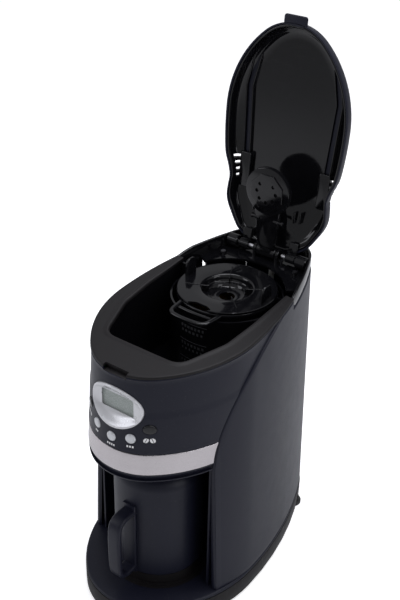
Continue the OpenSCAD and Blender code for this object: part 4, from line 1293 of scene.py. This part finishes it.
def base_covers():
    def ring_rows(levels):
        phi = np.concatenate([np.linspace(-90, 0, 60), np.linspace(1, 24, 14), np.linspace(28, 90, 20),
                              [180]])
        xy = rim(BODY, np.minimum(phi, 90))
        a = np.radians(np.minimum(phi, 90))
        normal = np.stack([np.cos(a), np.sin(a)], -1)
        rows = []
        for d, z in levels:
            p = xy + normal * d
            p[-1] = (0, p[-2][1])
            loop = np.concatenate([p, (p * [-1, 1])[::-1][1:-1]])
            rows.append(np.column_stack([loop, np.full(len(loop), z)]))
        return np.array(rows)

    top = [(FLARE - 20, 26.6), (FLARE - 1.2, 26.3), (FLARE - 0.7, 26.5), (FLARE - 0.6, 27.2),
           (FLARE - 0.8, 28.6), (FLARE - 1.6, 29.6),
           (FLARE - 2.8, 30.0)]
    rows = ring_rows(top)
    part = Part("base_top_cover").grid(rows)
    well = Part("well").lathe([(0, 28.4), (62.3, 28.4), (62.3, 40), (0, 40)], (0, CARAFE_Y, 0), 96)
    shaft = Part("tube_well").grid(np.array([np.column_stack([rounded_rect(110, 110, 12) + [0, 120],
                                                              np.full(28, z)]) for z in (20, 40)]))
    part.done("machine", "satin_black", "base_cover", cut=[cutter(well), cutter(shaft)], sharp=35)
    wall = [(FLARE - 3.2, 4.0), (FLARE - 1.4, 4.1), (FLARE - 0.4, 5.0), (FLARE, 6.6), (FLARE, 25.2),
            (FLARE - 0.4, 25.8),
            (FLARE - 1.0, 26.0), (FLARE - WALL, 26.0), (FLARE - WALL, 6.6), (FLARE - 3.2, 6.6)]
    Part("base_skirt").grid(ring_rows(wall), wrap_rows=True).done("machine", "deck_black", sharp=40)


def carafe():
    centre = (0, CARAFE_Y, 0)
    shell = [(54, 44.2), (54, 170), (53.5, 173.5), (52.0, 177.2), (49.2, 180.6), (45.6, 183.6),
             (42.4, 185.4), (41.2, 186),
             (40.2, 185.8), (40, 184.6), (44.6, 180), (49, 176), (51.6, 171), (51.8, 44.2)]
    Part("carafe_outer_shell").lathe(shell, centre, 160).done("carafe", "satin_black", "carafe_body",
                                                              sharp=50)
    cap = [(0, 176), (36.6, 176), (37, 176.6), (37.2, 186.8), (44.4, 186.7), (45, 187.3), (45, 197.6),
           (44.4, 199.4), (42.6, 201.2),
           (40, 202.6), (37.6, 203), (24, 203), (22.6, 202.6), (22, 201.6), (21, 200.6), (7.4, 200.2),
           (6, 199), (6, 178), (0, 177.4)]
    slot = cutter(box_part("lever_slot", (-7.5, -97, 194), (7.5, -72, 214), 1.0))
    Part("carafe_screw_cap").lathe(cap, centre, 128).done("carafe_lid", "deck_black", "carafe_lid",
                                                          cut=[slot], sharp=40)
    lever = Part("carafe_thumb_lever")
    outline = smooth_corners([(-6.8, -74), (6.8, -74), (6.8, -92), (4, -98), (-4, -98), (-6.8, -92)],
                             [1, 1, 3, 3, 3, 3], 4)
    soft_slab(lever, outline, 196.5, 200.4, 1.0)
    soft_slab(lever, rounded_rect(9, 4, 1.5) + [0, -95.6], 199, 203.5, 1.0)
    lever.done("carafe_lever", "deck_black", "carafe_lever", sharp=40)
    grip = Part("carafe_grip")
    front = CARAFE_Y - CARAFE_R
    path = catmull([(0, front + 0.4, 136.6), (0, front - 10, 137), (0, front - 19, 136),
                    (0, front - 26, 130.5),
                    (0, front - 28.2, 119), (0, front - 28.6, 96), (0, front - 28, 72),
                    (0, front - 25.6, 58.6),
                    (0, front - 19, 52.2), (0, front - 10, 51.4), (0, front + 0.4, 51.6)], 7)
    grip.sweep(path, rounded_rect(7.4, 17.6, 3.2, 6), up=(1, 0, 0))
    spine = [np.array([0, front - 1.3, z]) for z in np.linspace(45, 147, 12)]
    grip.sweep(spine, rounded_rect(3.4, 17.6, 1.2, 4), up=(1, 0, 0))
    grip.done("carafe", "satin_black", "carafe_handle", sharp=40)


front_housing()
band_and_lip()
side_panel(1, "right_side_cover", "side_panel_right")
side_panel(-1, "left_side_cover", "side_panel_left", cut=[overflow_cutter()])
rear_cover()
top_deck()
rear_collar()
display_bezel()
keys()
printed_marks()
lid_outer()
lid_liner()
shower_arm()
basket_lid()
brew_basket()
level_marks()
base_covers()
carafe()

# ---------------------------------------------------------------- floor, lights, camera


def floor():
    bpy.ops.mesh.primitive_plane_add(size=8, location=(0, 0, -0.0005))
    plane = bpy.context.object
    plane.name = "pale_floor"
    f = Finish("pale_floor_paint")
    f.set(Base_Color=f.blend(f.noise(3, 2), (0.86, 0.86, 0.86), (0.88, 0.88, 0.88)), Roughness=0.6)
    seen = f.node("ShaderNodeLightPath", {}, {}, "Is Camera Ray")
    f.set(Emission_Color=f.blend(seen, (0, 0, 0), (0.6, 0.6, 0.6)), Emission_Strength=1.0)
    plane.data.materials.append(f.material)


def softbox(name, place, target, size, power):
    data = bpy.data.lights.new(name, "AREA")
    data.shape, data.size, data.size_y, data.energy = "RECTANGLE", size[0], size[1], power
    data.color = (0.93, 0.94, 1.0)
    lamp = bpy.data.objects.new(name, data)
    bpy.context.scene.collection.objects.link(lamp)
    lamp.location = place
    aim = Vector(target) - Vector(place)
    lamp.rotation_mode = "QUATERNION"
    lamp.rotation_quaternion = aim.to_track_quat("-Z", "Y")


def studio():
    world = bpy.data.worlds.new("pale_room")
    bpy.context.scene.world = world
    world.use_nodes = True
    room = Tree(world.node_tree)
    seen = room.node("ShaderNodeLightPath", {}, {}, "Is Camera Ray")
    tone = room.node("ShaderNodeMix", {"data_type": "RGBA"}, {0: seen, 6: (0.95, 0.96, 1.0, 1),
                                                              7: (1, 1, 1, 1)}, 2)
    glow = room.node("ShaderNodeMapRange", {}, {"Value": seen, "To Min": 0.4, "To Max": 1.0})
    light = room.nodes["Background"]
    room.links.new(tone.socket, light.inputs["Color"])
    room.links.new(glow.socket, light.inputs["Strength"])
    softbox("left_softbox", (-1.8, -1.3, 1.4), (0, 0, 0.3), (1.2, 1.4), 12)
    softbox("right_softbox", (2.0, -0.2, 1.2), (0, 0, 0.3), (0.9, 1.5), 8)
    softbox("top_softbox", (0.1, 0.4, 2.2), (0, 0, 0.3), (1.8, 1.4), 30)
    bpy.context.scene.view_settings.view_transform = "Standard"
    bpy.context.scene.view_settings.look = "None"


def camera():
    data = bpy.data.cameras.new("view_camera")
    data.lens, data.sensor_width = 60, 36
    data.clip_start, data.clip_end = 0.05, 30
    cam = bpy.data.objects.new("view_camera", data)
    bpy.context.scene.collection.objects.link(cam)
    turn, rise, roll, far = math.radians(36), math.radians(30.574), math.radians(1.263), 1.13268
    target = Vector((0, -0.010424, 0.359485))
    back = Vector((math.sin(turn) * math.cos(rise), -math.cos(turn) * math.cos(rise), math.sin(rise)))
    right = Vector((math.cos(turn), math.sin(turn), 0))
    up = back.cross(right)
    right, up = right * math.cos(roll) + up * math.sin(roll), up * math.cos(roll) - right * math.sin(roll)
    spot = target + back * far
    cam.matrix_world = Matrix(((right.x, up.x, back.x, spot.x), (right.y, up.y, back.y, spot.y),
                               (right.z, up.z, back.z, spot.z), (0, 0, 0, 1)))
    bpy.context.scene.camera = cam


floor()
studio()
camera()
